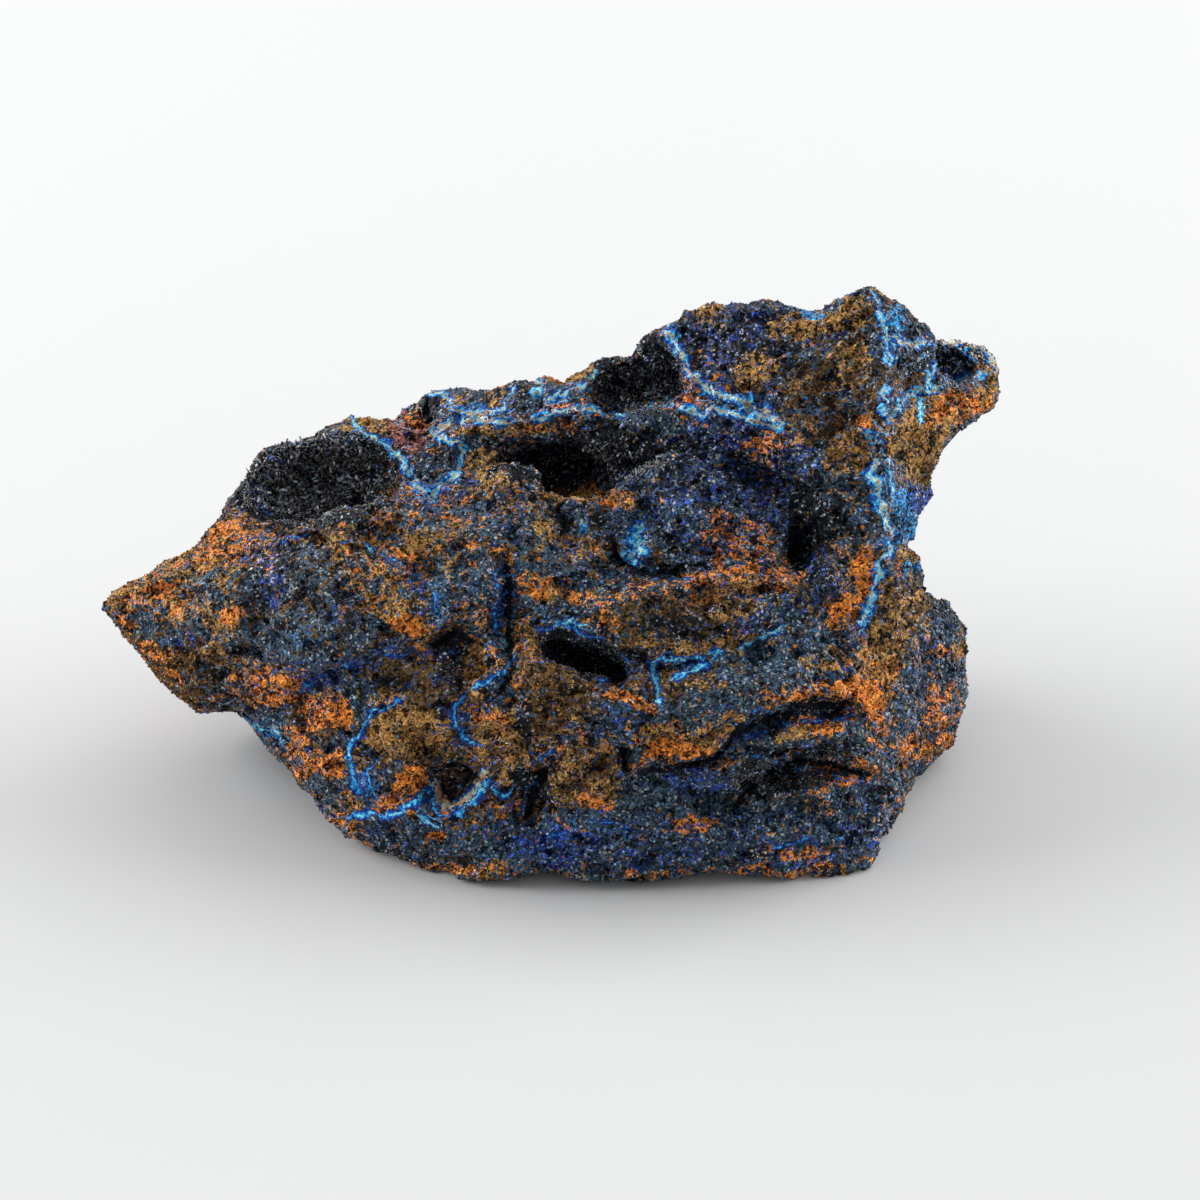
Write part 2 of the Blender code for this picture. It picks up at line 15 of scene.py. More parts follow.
import bmesh
import bpy
import numpy as np
from mathutils import Matrix, Vector
from mathutils.bvhtree import BVHTree


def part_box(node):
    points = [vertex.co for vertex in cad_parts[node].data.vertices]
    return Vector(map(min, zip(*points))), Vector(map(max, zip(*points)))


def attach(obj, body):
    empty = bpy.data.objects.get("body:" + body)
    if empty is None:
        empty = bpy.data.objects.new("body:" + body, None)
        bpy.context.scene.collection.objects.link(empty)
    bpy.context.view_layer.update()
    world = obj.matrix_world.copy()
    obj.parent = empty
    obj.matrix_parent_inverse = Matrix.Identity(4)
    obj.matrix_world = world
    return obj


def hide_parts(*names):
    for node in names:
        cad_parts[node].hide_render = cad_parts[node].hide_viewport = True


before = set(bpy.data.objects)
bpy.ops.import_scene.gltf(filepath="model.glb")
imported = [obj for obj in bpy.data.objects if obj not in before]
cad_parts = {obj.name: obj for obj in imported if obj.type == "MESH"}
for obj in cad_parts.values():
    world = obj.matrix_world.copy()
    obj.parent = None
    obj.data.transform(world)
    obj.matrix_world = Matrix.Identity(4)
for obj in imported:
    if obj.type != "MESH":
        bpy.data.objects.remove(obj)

MM = 0.001
LOG = logging.getLogger("azurite")
Colour = tuple[float, float, float]
Place = tuple[float, float]
Place3 = tuple[float, float, float]
Array = np.ndarray
Object = bpy.types.Object
Socket = bpy.types.NodeSocket
Tree = bpy.types.NodeTree


class Mineral(Enum):
    """What the surface is made of, in the order in which the rock's finish lays it."""

    UMBER = 0
    OCHRE = 1
    RUST = 2
    SLATE = 3
    ULTRAMARINE = 4
    # NIGHT is black crystals, and is also laid as painted shade in pits, clefts, slots and recesses.
    NIGHT = 5
    MAROON = 6
    TURQUOISE = 7
    CREAM = 8


@dataclass(frozen=True)
class Tint:
    """How one mineral looks, and how much of it there is.

    colour is in linear light, and clump is the width of its clumps in mm. ground is its share away from
    the areas of the display side, which is all over the hidden sides, and stray is its share of the
    stray grains that lie everywhere.
    """

    colour: Colour
    roughness: float
    clump: float
    ground: float
    stray: float


@dataclass(frozen=True)
class DisplaySheet:
    """The square sheet of the display side, and the eye that looks at it."""

    divisions: int = 1200
    division: float = 0.125 / 905
    distance: float = 0.75
    tilt: float = math.radians(30)
    centre: Place3 = (0.006695, -0.00198, 0.02716)
    edge_on: tuple[float, float] = (0.02, 0.25)

    @property
    def forward(self) -> Vector:
        """The direction in which the eye looks."""
        return Vector((0, math.cos(self.tilt), -math.sin(self.tilt)))

    @property
    def upward(self) -> Vector:
        """The sheet's own upward direction."""
        return Vector((0, math.sin(self.tilt), math.cos(self.tilt)))

    @property
    def eye(self) -> Vector:
        """Where the eye is."""
        return Vector(self.centre) - self.forward * self.distance

    def places(self, points: Array) -> Array:
        """The divisions at which the eye sees points.

        Args:
            points: positions in metres.

        Returns:
            An array of (across, down) divisions.
        """
        rays = points - np.array(self.eye)
        scale = self.distance / (rays @ np.array(self.forward)) / self.division
        middle = self.divisions / 2
        return np.column_stack([middle + rays[:, 0] * scale, middle - (rays @ np.array(self.upward)) * scale])

    def towards(self, place: Place) -> Vector:
        """The direction from the eye to a place on the sheet.

        Args:
            place: the (across, down) divisions.

        Returns:
            A unit vector.
        """
        across, down = place
        half = self.divisions / 2
        ray = self.forward * self.distance
        ray += Vector(((across - half) * self.division, 0, 0)) + self.upward * (half - down) * self.division
        return ray.normalized()

    def to_eye(self, points: Array) -> Array:
        """Unit vectors from points towards the eye.

        Args:
            points: positions in metres.

        Returns:
            An array of unit vectors.
        """
        rays = np.array(self.eye) - points
        return rays / np.linalg.norm(rays, axis=1)[:, None]

    def facing(self, points: Array, normals: Array) -> Array:
        """How far points face the eye, from 0 on the hidden sides to 1 on the display side.

        Args:
            points: positions in metres.
            normals: the surface normals there.

        Returns:
            An array of shares.
        """
        return smooth_step(*self.edge_on, (self.to_eye(points) * normals).sum(axis=1))

    def camera(self) -> Object:
        """Makes the camera that frames the sheet.

        Returns:
            The camera object.
        """
        data = bpy.data.cameras.new("camera")
        data.sensor_width = 36
        data.lens = data.sensor_width * self.distance / (self.divisions * self.division)
        data.clip_start, data.clip_end = 0.01, 20
        camera = placed("camera", data)
        camera.location = self.eye
        camera.rotation_euler = (math.pi / 2 - self.tilt, 0, 0)
        bpy.context.scene.camera = camera
        return camera


def placed(name: str, data: bpy.types.ID) -> Object:
    """Adds an object to the scene.

    Args:
        name: the object's name.
        data: its mesh, lamp or camera.

    Returns:
        The object.
    """
    thing = bpy.data.objects.new(name, data)
    bpy.context.scene.collection.objects.link(thing)
    return thing


def smooth_step(low: float, high: float, value: Array) -> Array:
    """A smooth rise from 0 at low to 1 at high.

    Args:
        low: where the rise starts.
        high: where it ends.
        value: the values to map.

    Returns:
        The mapped values.
    """
    share = np.clip((value - low) / (high - low), 0, 1)
    return share * share * (3 - 2 * share)


@dataclass(frozen=True)
class StoneNoise:
    """Noise in space, worked out for many points at once.

    finer is how much each layer of rough noise shrinks, and gain brings its swing back to about 1.
    """

    seed: int
    channel_shift: float = 0.37
    layer_channels: int = 17
    finer: float = 2.03
    gain: float = 1.3

    def _hash(self, cells: Array, channel: int) -> Array:
        """A number for each cell, mixed from its place by large primes.

        Args:
            cells: whole numbers along three axes.
            channel: which of many independent noises this is.

        Returns:
            Values from 0 to 1.
        """
        mixed = cells.astype(np.int64) @ np.array([73856093, 19349663, 83492791])
        mixed = (mixed ^ ((self.seed * 977 + channel * 131 + 7) * 2654435761)) & 0xFFFFFFFF
        for shift, prime in ((15, 2246822519), (13, 3266489917)) * 2:
            mixed = ((mixed ^ (mixed >> shift)) * prime) & 0xFFFFFFFF
        return ((mixed ^ (mixed >> 16)) & 0xFFFFFF) / 0xFFFFFF

    def smooth(self, points: Array, wavelength: float, channel: int) -> Array:
        """Smooth noise.

        Args:
            points: positions in metres.
            wavelength: the size of its cells, in mm.
            channel: which of many independent noises this is.

        Returns:
            Values from -1 to 1.
        """
        spots = points / (wavelength * MM) + self.channel_shift * channel
        cells = np.floor(spots)
        share = spots - cells
        share = share * share * (3 - 2 * share)
        total = np.zeros(len(points))
        for corner in np.ndindex(2, 2, 2):
            weight = np.prod(np.where(corner, share, 1 - share), axis=1)
            total += weight * self._hash(cells + corner, channel)
        return total * 2 - 1

    def rough(self, points: Array, wavelength: float, layers: int, channel: int) -> Array:
        """Noise with finer and finer layers, each half as strong as the one before.

        Args:
            points: positions in metres.
            wavelength: the size of the widest cells, in mm.
            layers: how many layers there are.
            channel: which of many independent noises this is.

        Returns:
            Values from about -1 to 1.
        """
        total = np.zeros(len(points))
        for layer in range(layers):
            size, own_channel = wavelength / self.finer**layer, channel + self.layer_channels * layer
            total += self.smooth(points, size, own_channel) * 0.5**layer
        return total / (2 - 0.5 ** (layers - 1)) * self.gain

    def cobbles(self, points: Array, wavelength: float, channel: int) -> Array:
        """Rounded lumps packed side by side.

        Args:
            points: positions in metres.
            wavelength: the size of a lump, in mm.
            channel: which of many independent noises this is.

        Returns:
            1 at the top of a lump, falling to about 0 between lumps.
        """
        spots = points / (wavelength * MM)
        cells = np.floor(spots)
        nearest = np.full(len(points), np.inf)
        for step in np.ndindex(3, 3, 3):
            cell = cells + np.array(step) - 1
            seeds = cell + np.column_stack([self._hash(cell, channel + axis) for axis in range(3)])
            nearest = np.minimum(nearest, ((seeds - spots) ** 2).sum(axis=1))
        return 1 - np.clip(nearest, 0, 1)


def path_offset(places: Array, path: tuple[Place, ...]) -> Array:
    """How far each place is from a path, with a sign that says on which side.

    Args:
        places: an array of (across, down) divisions.
        path: the path's points.

    Returns:
        Signed distances in divisions.
    """
    nearest = np.full(len(places), np.inf)
    for start, end in zip(path, path[1:]):
        start, along = np.array(start, float), np.subtract(end, start).astype(float)
        away = places - start
        share = np.clip(away @ along / (along @ along), 0, 1)
        distance = np.linalg.norm(away - share[:, None] * along, axis=1)
        side = np.where(along[0] * away[:, 1] - along[1] * away[:, 0] < 0, -1.0, 1.0)
        nearest = np.where(distance < np.abs(nearest), distance * side, nearest)
    return nearest


# The edge of the lump, as seen on the display sheet.
OUTLINE: tuple[Place, ...] = (
    (99, 604), (104, 597), (114, 592), (119, 580), (131, 575), (148, 570), (160, 563), (186, 554),
    (200, 545), (207, 533), (221, 522), (228, 500), (248, 478), (252, 465), (262, 450), (275, 438),
    (290, 431), (325, 424), (338, 411), (380, 408), (395, 412), (407, 406), (416, 391), (450, 388),
    (485, 387), (505, 385), (511, 378), (553, 374), (565, 377), (600, 357), (632, 346), (640, 326),
    (650, 319), (668, 314), (700, 296), (712, 291), (763, 291), (775, 299), (812, 313), (838, 301),
    (860, 290), (871, 288), (888, 300), (907, 310), (904, 325), (930, 324), (945, 327), (952, 334),
    (978, 336), (995, 351), (1005, 376), (1003, 395), (996, 406), (970, 423), (945, 436), (934, 470),
    (940, 485), (937, 507), (924, 512), (922, 530), (924, 588), (950, 600), (957, 613), (971, 639),
    (963, 665), (967, 692), (955, 728), (952, 745), (940, 752), (912, 786), (905, 805), (885, 840),
    (872, 868), (850, 877), (800, 879), (735, 872), (715, 870), (670, 877), (640, 881), (580, 880),
    (555, 871), (540, 871), (510, 878), (475, 881), (435, 874), (400, 859), (360, 847), (335, 830),
    (310, 803), (300, 785), (265, 745), (245, 713), (222, 702), (215, 710), (198, 711), (175, 694),
    (153, 672), (145, 657), (112, 620), (99, 604),
)


def past_outline(places: Array) -> Array:
    """The way back to the outline from the places outside it.

    Args:
        places: an array of (across, down) divisions.

    Returns:
        An array of steps in divisions, zero for the places inside.
    """
    inside = np.zeros(len(places), bool)
    steps = np.zeros((len(places), 2))
    nearest = np.full(len(places), np.inf)
    for start, end in zip(OUTLINE, OUTLINE[1:]):
        start, along = np.array(start, float), np.subtract(end, start).astype(float)
        away = places - start
        crossed = (start[1] > places[:, 1]) != (end[1] > places[:, 1])
        share = away[:, 1] / (along[1] or 1e-9)
        inside ^= crossed & (away[:, 0] < share * along[0])
        share = np.clip(away @ along / (along @ along), 0, 1)
        step = share[:, None] * along - away
        distance = np.linalg.norm(step, axis=1)
        steps = np.where((distance < nearest)[:, None], step, steps)
        nearest = np.minimum(nearest, distance)
    return np.where(inside[:, None], 0, steps)


@dataclass(frozen=True)
class Patch:
    """An oval of one mineral on the display sheet.

    share is how much of the oval it covers, turn is in degrees, rising to the right, and edge is where
    the cover fades out, as shares of the way from the oval's middle to its edge.
    """

    mineral: Mineral
    share: float
    across: float
    down: float
    wide: float
    high: float
    turn: float = 0
    edge: tuple[float, float] = (0.8, 1.2)

    def cover(self, places: Array) -> Array:
        """How much of each place the oval covers.

        Args:
            places: an array of (across, down) divisions.

        Returns:
            Shares from 0 to 1.
        """
        return self.share * (1 - smooth_step(*self.edge, self.offset(places)))

    def offset(self, places: Array) -> Array:
        """How far each place lies from the oval's middle, which is 1 on its edge.

        Args:
            places: an array of (across, down) divisions.

        Returns:
            The distances.
        """
        turn = math.radians(self.turn)
        away = places - (self.across, self.down)
        length = away[:, 0] * math.cos(turn) - away[:, 1] * math.sin(turn)
        height = away[:, 0] * math.sin(turn) + away[:, 1] * math.cos(turn)
        return np.hypot(length / self.wide, height / self.high)


@dataclass(frozen=True)
class Vein:
    """A band of copper carbonate: half-width in divisions, and its path.

    core is how much of the band another mineral fills. Below zero, it is how dark the whole band is, and
    the darkest bands break up into dashes.
    """

    half_width: float
    core: float
    path: tuple[Place, ...]


@dataclass(frozen=True)
class Fold:
    """A ledge, or a cleft where rise is below zero: half-width in divisions, rise in mm."""

    half_width: float
    rise: float
    path: tuple[Place, ...]


UMBER, OCHRE, RUST, SLATE, ULTRAMARINE, NIGHT, MAROON, TURQUOISE, CREAM = Mineral

TINTS: dict[Mineral, Tint] = {
    UMBER: Tint((0.128, 0.071, 0.022), 0.85, 2.2, ground=0.19, stray=0.02),
    OCHRE: Tint((0.42, 0.226, 0.068), 0.85, 2.2, ground=0.12, stray=0.06),
    RUST: Tint((0.77, 0.254, 0.044), 0.85, 1.9, ground=0.095, stray=0.06),
    SLATE: Tint((0.042, 0.079, 0.122), 0.42, 2.0, ground=0.33, stray=0.46),
    ULTRAMARINE: Tint((0.026, 0.066, 0.35), 0.40, 1.2, ground=0.13, stray=0.18),
    NIGHT: Tint((0.006, 0.008, 0.013), 0.30, 1.7, ground=0.13, stray=0.20),
    MAROON: Tint((0.34, 0.125, 0.090), 0.75, 2.0, ground=0.01, stray=0.0),
    TURQUOISE: Tint((0.030, 0.28, 0.62), 0.60, 1.0, ground=0.02, stray=0.04),
    CREAM: Tint((0.76, 0.66, 0.48), 0.65, 0.9, ground=0.01, stray=0.02),
}

# The colours across a vein, from 0 at its edge to 1 along its middle.
VEIN_COLOURS: dict[float, Colour] = {
    0.0: (0.010, 0.030, 0.20),
    0.30: (0.008, 0.10, 0.50),
    0.50: (0.02, 0.34, 0.76),
    0.76: (0.12, 0.62, 0.86),
    1.0: (0.46, 0.86, 0.86),
}

# What fills the middle of some veins, besides cream.
WARM_FILLING: Colour = (0.50, 0.30, 0.12)

# The colour of the painted glints: the few grains painted pale as if they caught the light.
PAINTED_GLINT_COLOUR: Colour = (0.42, 0.47, 0.52)

# The minerals that grow as fine crystals, and how much their brightness differs from one to the next.
ORES: dict[Mineral, float] = {SLATE: 0.95, ULTRAMARINE: 0.85, NIGHT: 0.95}

# For each area of the display side, its ovals: the share of each mineral, the middle across and down, the
# half-width, the half-height and the turn.
# Ovals of NIGHT are black crystals, and also painted shade: they darken the cavern, the slots, the clefts and
# cracks, and the recesses under the shelf and beside the mound, where shade falls.
AREAS: dict[str, tuple[tuple, ...]] = {
    "snout": (
        ({OCHRE: 0.55}, 170, 585, 75, 40), ({SLATE: 0.25}, 170, 585, 85, 45),
        ({RUST: 0.4}, 215, 545, 50, 20, 20), ({RUST: 0.25}, 150, 598, 45, 22),
        ({UMBER: 0.49}, 170, 665, 60, 38, -35), ({RUST: 0.4}, 150, 650, 50, 10, -45),
        ({SLATE: 0.65}, 165, 628, 35, 16, -10), ({ULTRAMARINE: 0.4}, 180, 640, 22, 8),
        ({SLATE: 0.4}, 210, 590, 25, 20), ({CREAM: 0.85}, 258, 577, 6, 20), ({RUST: 0.9}, 228, 612, 12, 9),
        ({OCHRE: 0.8}, 112, 595, 16, 14),
    ),
    "left vug": (
        ({NIGHT: 1.0}, 312, 478, 92, 54, 8), ({ULTRAMARINE: 0.5}, 262, 495, 8, 20),
        ({TURQUOISE: 0.4}, 285, 440, 14, 8), ({SLATE: 0.8}, 345, 435, 22, 14),
        ({OCHRE: 0.9}, 362, 421, 28, 12), ({MAROON: 0.9}, 410, 428, 26, 20), ({RUST: 0.9}, 418, 417, 9, 9),
        ({OCHRE: 0.8}, 435, 440, 10, 7),
    ),
    "wedge": (
        ({SLATE: 0.5}, 375, 465, 18, 14), ({ULTRAMARINE: 0.3}, 375, 465, 14, 12),
        ({UMBER: 0.42}, 395, 470, 10, 20), ({SLATE: 0.8, NIGHT: 0.3}, 428, 468, 24, 22),
        ({OCHRE: 0.55}, 495, 470, 32, 18), ({OCHRE: 0.8}, 512, 470, 36, 15),
        ({CREAM: 0.12}, 512, 470, 34, 13),
    ),
    "shelf": (
        ({OCHRE: 0.8}, 490, 428, 60, 9), ({CREAM: 0.22}, 480, 428, 50, 8), ({RUST: 0.5}, 560, 425, 45, 8),
        ({SLATE: 0.6}, 680, 425, 110, 14), ({ULTRAMARINE: 0.4}, 720, 430, 40, 12),
        ({NIGHT: 0.6}, 680, 445, 130, 14), ({ULTRAMARINE: 0.25}, 680, 445, 120, 12),
        ({RUST: 0.5}, 765, 450, 35, 9),
    ),
    "cavern": (
        ({NIGHT: 1.0}, 620, 465, 130, 30),
    ),
    "back ridge": (
        ({NIGHT: 0.9}, 425, 405, 22, 14), ({OCHRE: 0.45}, 480, 398, 35, 10),
        ({NIGHT: 0.3}, 480, 396, 35, 10), ({TURQUOISE: 0.6}, 468, 405, 12, 6),
        ({NIGHT: 0.8}, 520, 392, 12, 18), ({OCHRE: 0.8}, 575, 372, 28, 10), ({SLATE: 0.6}, 560, 400, 25, 10),
        ({RUST: 0.6}, 565, 405, 25, 5),
    ),
    "upper hollow": (
        ({NIGHT: 1.0}, 640, 375, 52, 36), ({NIGHT: 0.9}, 650, 335, 14, 20), ({MAROON: 0.3}, 635, 365, 12, 8),
        ({MAROON: 0.3}, 665, 380, 14, 10),
    ),
    "tower": (
        ({SLATE: 0.5, ULTRAMARINE: 0.2, UMBER: 0.08, NIGHT: 0.3}, 780, 350, 110, 60),
        ({OCHRE: 0.8}, 712, 312, 16, 12), ({OCHRE: 0.5}, 710, 296, 20, 8), ({RUST: 0.9}, 755, 293, 15, 6),
        ({NIGHT: 0.55, ULTRAMARINE: 0.15}, 730, 340, 50, 28), ({OCHRE: 0.6}, 755, 370, 20, 16),
        ({OCHRE: 0.6}, 780, 330, 18, 16), ({OCHRE: 0.55}, 820, 325, 40, 12),
        ({OCHRE: 0.7}, 858, 318, 20, 16), ({OCHRE: 0.5}, 810, 385, 14, 14),
        ({OCHRE: 0.45}, 850, 370, 25, 25), ({UMBER: 0.39}, 830, 400, 50, 50),
        ({NIGHT: 0.5}, 790, 345, 20, 8), ({RUST: 0.6}, 860, 420, 8, 8), ({RUST: 1.0}, 869, 436, 4, 4),
        ({TURQUOISE: 0.8}, 740, 292, 10, 5), ({TURQUOISE: 0.9}, 815, 314, 14, 5),
        ({TURQUOISE: 0.9}, 668, 322, 9, 9), ({TURQUOISE: 0.6}, 697, 300, 12, 6, 30),
        ({SLATE: 0.4}, 875, 330, 10, 40), ({NIGHT: 0.5, ULTRAMARINE: 0.25}, 800, 470, 40, 25),
        ({OCHRE: 0.45}, 850, 470, 30, 40), ({SLATE: 0.5}, 840, 500, 30, 30),
    ),
    "basin": (
        ({SLATE: 0.7, ULTRAMARINE: 0.3, NIGHT: 0.3}, 700, 500, 95, 50),
        ({TURQUOISE: 0.95}, 637, 543, 16, 24), ({CREAM: 0.35}, 638, 540, 12, 19),
        ({RUST: 0.28}, 735, 535, 35, 22), ({RUST: 0.35}, 750, 560, 45, 12), ({NIGHT: 0.9}, 660, 570, 45, 8),
        ({NIGHT: 0.7}, 815, 520, 35, 35), ({NIGHT: 1.0}, 800, 530, 18, 48),
        ({ULTRAMARINE: 0.4, NIGHT: 0.6}, 824, 575, 20, 28), ({OCHRE: 0.5, RUST: 0.3}, 600, 500, 35, 10),
        ({SLATE: 0.5, ULTRAMARINE: 0.12}, 560, 530, 70, 26), ({RUST: 0.35}, 545, 527, 16, 10),
        ({OCHRE: 0.45}, 545, 527, 18, 11), ({RUST: 0.3}, 595, 550, 30, 10), ({OCHRE: 0.4}, 595, 550, 32, 11),
        ({NIGHT: 0.9}, 562, 524, 11, 9), ({TURQUOISE: 0.7}, 586, 528, 6, 8),
        ({SLATE: 0.4}, 540, 545, 25, 12), ({NIGHT: 0.5}, 570, 545, 15, 8),
    ),
    "middle": (
        ({RUST: 0.28, OCHRE: 0.22, SLATE: 0.3}, 430, 545, 55, 40), ({OCHRE: 0.8}, 420, 540, 20, 12),
        ({CREAM: 0.4}, 462, 533, 12, 6), ({SLATE: 0.6}, 480, 600, 35, 50),
        ({SLATE: 0.7}, 438, 600, 12, 28, 8), ({TURQUOISE: 0.35}, 438, 600, 10, 25, 8),
        ({ULTRAMARINE: 0.5}, 500, 600, 12, 45), ({SLATE: 0.5, ULTRAMARINE: 0.12}, 570, 580, 90, 34),
        ({OCHRE: 0.35, RUST: 0.35}, 535, 580, 26, 12), ({CREAM: 0.25, TURQUOISE: 0.3}, 610, 575, 10, 14),
        ({RUST: 0.6}, 585, 597, 28, 9), ({SLATE: 0.5}, 560, 610, 45, 15),
        ({UMBER: 0.35, RUST: 0.4}, 605, 618, 28, 12), ({TURQUOISE: 0.3}, 545, 618, 30, 6),
        ({NIGHT: 1.0}, 588, 652, 48, 18, -19), ({NIGHT: 0.8}, 508, 620, 7, 60, 3),
    ),
    "shield": (
        ({UMBER: 0.35, SLATE: 0.45, NIGHT: 0.25}, 320, 600, 75, 60), ({ULTRAMARINE: 0.4}, 270, 580, 15, 30),
        ({NIGHT: 0.8}, 285, 560, 10, 22, 35), ({RUST: 0.38, OCHRE: 0.35, SLATE: 0.2}, 385, 595, 60, 20, -50),
        ({RUST: 0.9}, 405, 625, 14, 10), ({NIGHT: 0.6}, 412, 612, 10, 5), ({SLATE: 0.4}, 435, 600, 10, 30),
        ({OCHRE: 0.8}, 345, 545, 25, 8), ({SLATE: 0.5}, 280, 645, 40, 25),
        ({TURQUOISE: 0.25}, 295, 640, 20, 10), ({RUST: 0.45}, 270, 685, 40, 20),
    ),
    "below the crease": (
        ({SLATE: 0.4, ULTRAMARINE: 0.3}, 395, 655, 55, 8, 8), ({UMBER: 0.42}, 400, 670, 45, 18),
        ({NIGHT: 0.9}, 450, 665, 15, 35), ({OCHRE: 0.7}, 385, 697, 25, 12),
        ({UMBER: 0.42}, 430, 700, 30, 15), ({OCHRE: 0.85}, 475, 672, 15, 30),
        ({TURQUOISE: 0.3, SLATE: 0.3}, 495, 665, 10, 25), ({OCHRE: 0.95}, 408, 730, 45, 24),
        ({UMBER: 0.42}, 440, 755, 40, 14), ({RUST: 0.95}, 345, 715, 12, 18), ({RUST: 0.6}, 320, 710, 15, 20),
        ({RUST: 0.6}, 290, 740, 20, 15), ({RUST: 0.6}, 325, 765, 28, 15), ({SLATE: 0.6}, 365, 700, 15, 25),
        ({SLATE: 0.6}, 270, 730, 25, 25), ({SLATE: 0.6}, 325, 785, 15, 12),
        ({TURQUOISE: 0.35}, 265, 730, 18, 10), ({OCHRE: 1.0}, 357, 768, 9, 20),
        ({OCHRE: 1.0}, 352, 800, 8, 18), ({ULTRAMARINE: 0.4, TURQUOISE: 0.4}, 368, 785, 16, 12),
        ({UMBER: 0.35, NIGHT: 0.6}, 440, 775, 40, 25), ({RUST: 0.6}, 410, 785, 15, 25),
        ({RUST: 0.6}, 395, 810, 20, 12), ({RUST: 0.95}, 450, 805, 12, 6), ({SLATE: 0.8}, 410, 830, 50, 15),
        ({RUST: 0.9}, 435, 837, 9, 8), ({ULTRAMARINE: 0.5}, 385, 828, 12, 8),
    ),
    "foot": (
        ({OCHRE: 0.4, RUST: 0.6}, 490, 715, 20, 8), ({OCHRE: 0.6}, 500, 735, 25, 12),
        ({NIGHT: 0.9}, 530, 725, 10, 14), ({SLATE: 0.4}, 520, 700, 35, 10),
        ({UMBER: 0.49}, 560, 710, 30, 15), ({CREAM: 0.5}, 505, 740, 8, 5), ({OCHRE: 0.8}, 510, 770, 10, 14),
        ({NIGHT: 1.0}, 540, 785, 14, 35, 65), ({OCHRE: 0.5, UMBER: 0.35}, 595, 775, 48, 35),
        ({RUST: 0.6}, 600, 803, 22, 8), ({ULTRAMARINE: 0.4}, 625, 760, 8, 18),
        ({NIGHT: 0.9}, 623, 758, 5, 12),
    ),
    "broad fold": (
        ({SLATE: 0.4}, 690, 720, 100, 40, 8), ({RUST: 0.35, OCHRE: 0.45}, 690, 735, 55, 18, 8),
        ({CREAM: 0.08}, 690, 732, 50, 16, 8), ({SLATE: 0.4}, 700, 715, 40, 12),
        ({RUST: 1.0, CREAM: 0.2}, 632, 703, 28, 6, -10), ({SLATE: 0.5}, 620, 725, 25, 10),
        ({RUST: 0.8}, 670, 755, 40, 14, 15), ({UMBER: 0.42}, 610, 680, 60, 8),
        ({OCHRE: 0.3, UMBER: 0.28}, 690, 680, 40, 12), ({SLATE: 0.55}, 770, 665, 60, 20),
        ({TURQUOISE: 0.3}, 690, 665, 35, 10), ({SLATE: 0.4, TURQUOISE: 0.15}, 825, 645, 30, 15),
        ({OCHRE: 0.4}, 830, 660, 30, 8), ({RUST: 0.42}, 700, 588, 100, 12, 4),
        ({NIGHT: 0.25}, 700, 592, 100, 14, 4), ({SLATE: 0.25}, 640, 590, 60, 10, 4),
        ({UMBER: 0.42}, 690, 608, 70, 14), ({NIGHT: 0.7}, 680, 625, 40, 12),
        ({OCHRE: 0.4}, 740, 600, 50, 18), ({OCHRE: 0.5}, 700, 645, 70, 8), ({RUST: 0.7}, 755, 573, 45, 5),
        ({ULTRAMARINE: 0.3, SLATE: 0.3}, 790, 605, 35, 12),
    ),
    "right": (
        ({RUST: 1.0}, 863, 575, 14, 33), ({CREAM: 0.14}, 862, 572, 9, 26), ({RUST: 1.0}, 848, 608, 14, 12),
        ({RUST: 0.7}, 840, 620, 10, 10), ({UMBER: 0.42, OCHRE: 0.5}, 895, 620, 28, 40),
        ({NIGHT: 0.9}, 884, 613, 8, 8), ({OCHRE: 0.6}, 885, 660, 30, 18),
        ({RUST: 1.0}, 860, 700, 30, 18, -25), ({CREAM: 0.06}, 860, 700, 28, 16, -25),
        ({RUST: 0.3}, 885, 690, 30, 30), ({SLATE: 0.5}, 910, 700, 20, 35), ({RUST: 0.5}, 800, 690, 45, 8, 8),
        ({NIGHT: 1.0}, 822, 706, 34, 10), ({NIGHT: 0.8}, 765, 722, 30, 8, 20),
        ({SLATE: 0.5}, 815, 728, 60, 16), ({RUST: 0.6}, 825, 723, 33, 8),
        ({OCHRE: 0.7}, 790, 735, 20, 8, 20), ({SLATE: 0.6}, 780, 750, 40, 10),
        ({ULTRAMARINE: 0.6}, 830, 748, 40, 6), ({NIGHT: 1.0}, 800, 757, 72, 9, 10),
        ({NIGHT: 1.0}, 757, 785, 12, 25, 60), ({NIGHT: 0.6}, 795, 775, 15, 15),
        ({SLATE: 0.4}, 885, 760, 45, 50), ({RUST: 0.35}, 890, 740, 25, 15), ({RUST: 0.4}, 850, 770, 30, 12),
        ({RUST: 0.35}, 915, 750, 18, 18), ({ULTRAMARINE: 0.3}, 880, 800, 25, 15),
        ({RUST: 0.8}, 890, 845, 8, 15),
    ),
    "flank": (
        ({SLATE: 0.8}, 950, 630, 22, 45), ({NIGHT: 0.6}, 935, 610, 15, 15),
        ({SLATE: 0.5, ULTRAMARINE: 0.15}, 935, 670, 40, 60), ({RUST: 0.5}, 945, 655, 14, 6),
        ({OCHRE: 0.5}, 962, 645, 8, 20), ({SLATE: 0.6}, 955, 700, 20, 20), ({RUST: 0.28}, 940, 710, 20, 25),
        ({NIGHT: 0.8}, 938, 675, 7, 12), ({RUST: 0.7}, 945, 740, 8, 8),
    ),
    "bottom": (
        ({SLATE: 0.75, ULTRAMARINE: 0.25}, 690, 840, 210, 34), ({ULTRAMARINE: 0.45}, 530, 845, 40, 14),
        ({ULTRAMARINE: 0.4}, 570, 845, 30, 20), ({TURQUOISE: 0.3}, 600, 825, 30, 10),
        ({TURQUOISE: 0.3}, 545, 835, 12, 8), ({SLATE: 0.7}, 680, 790, 60, 30),
        ({ULTRAMARINE: 0.5}, 700, 780, 30, 15), ({RUST: 0.6}, 695, 825, 25, 8),
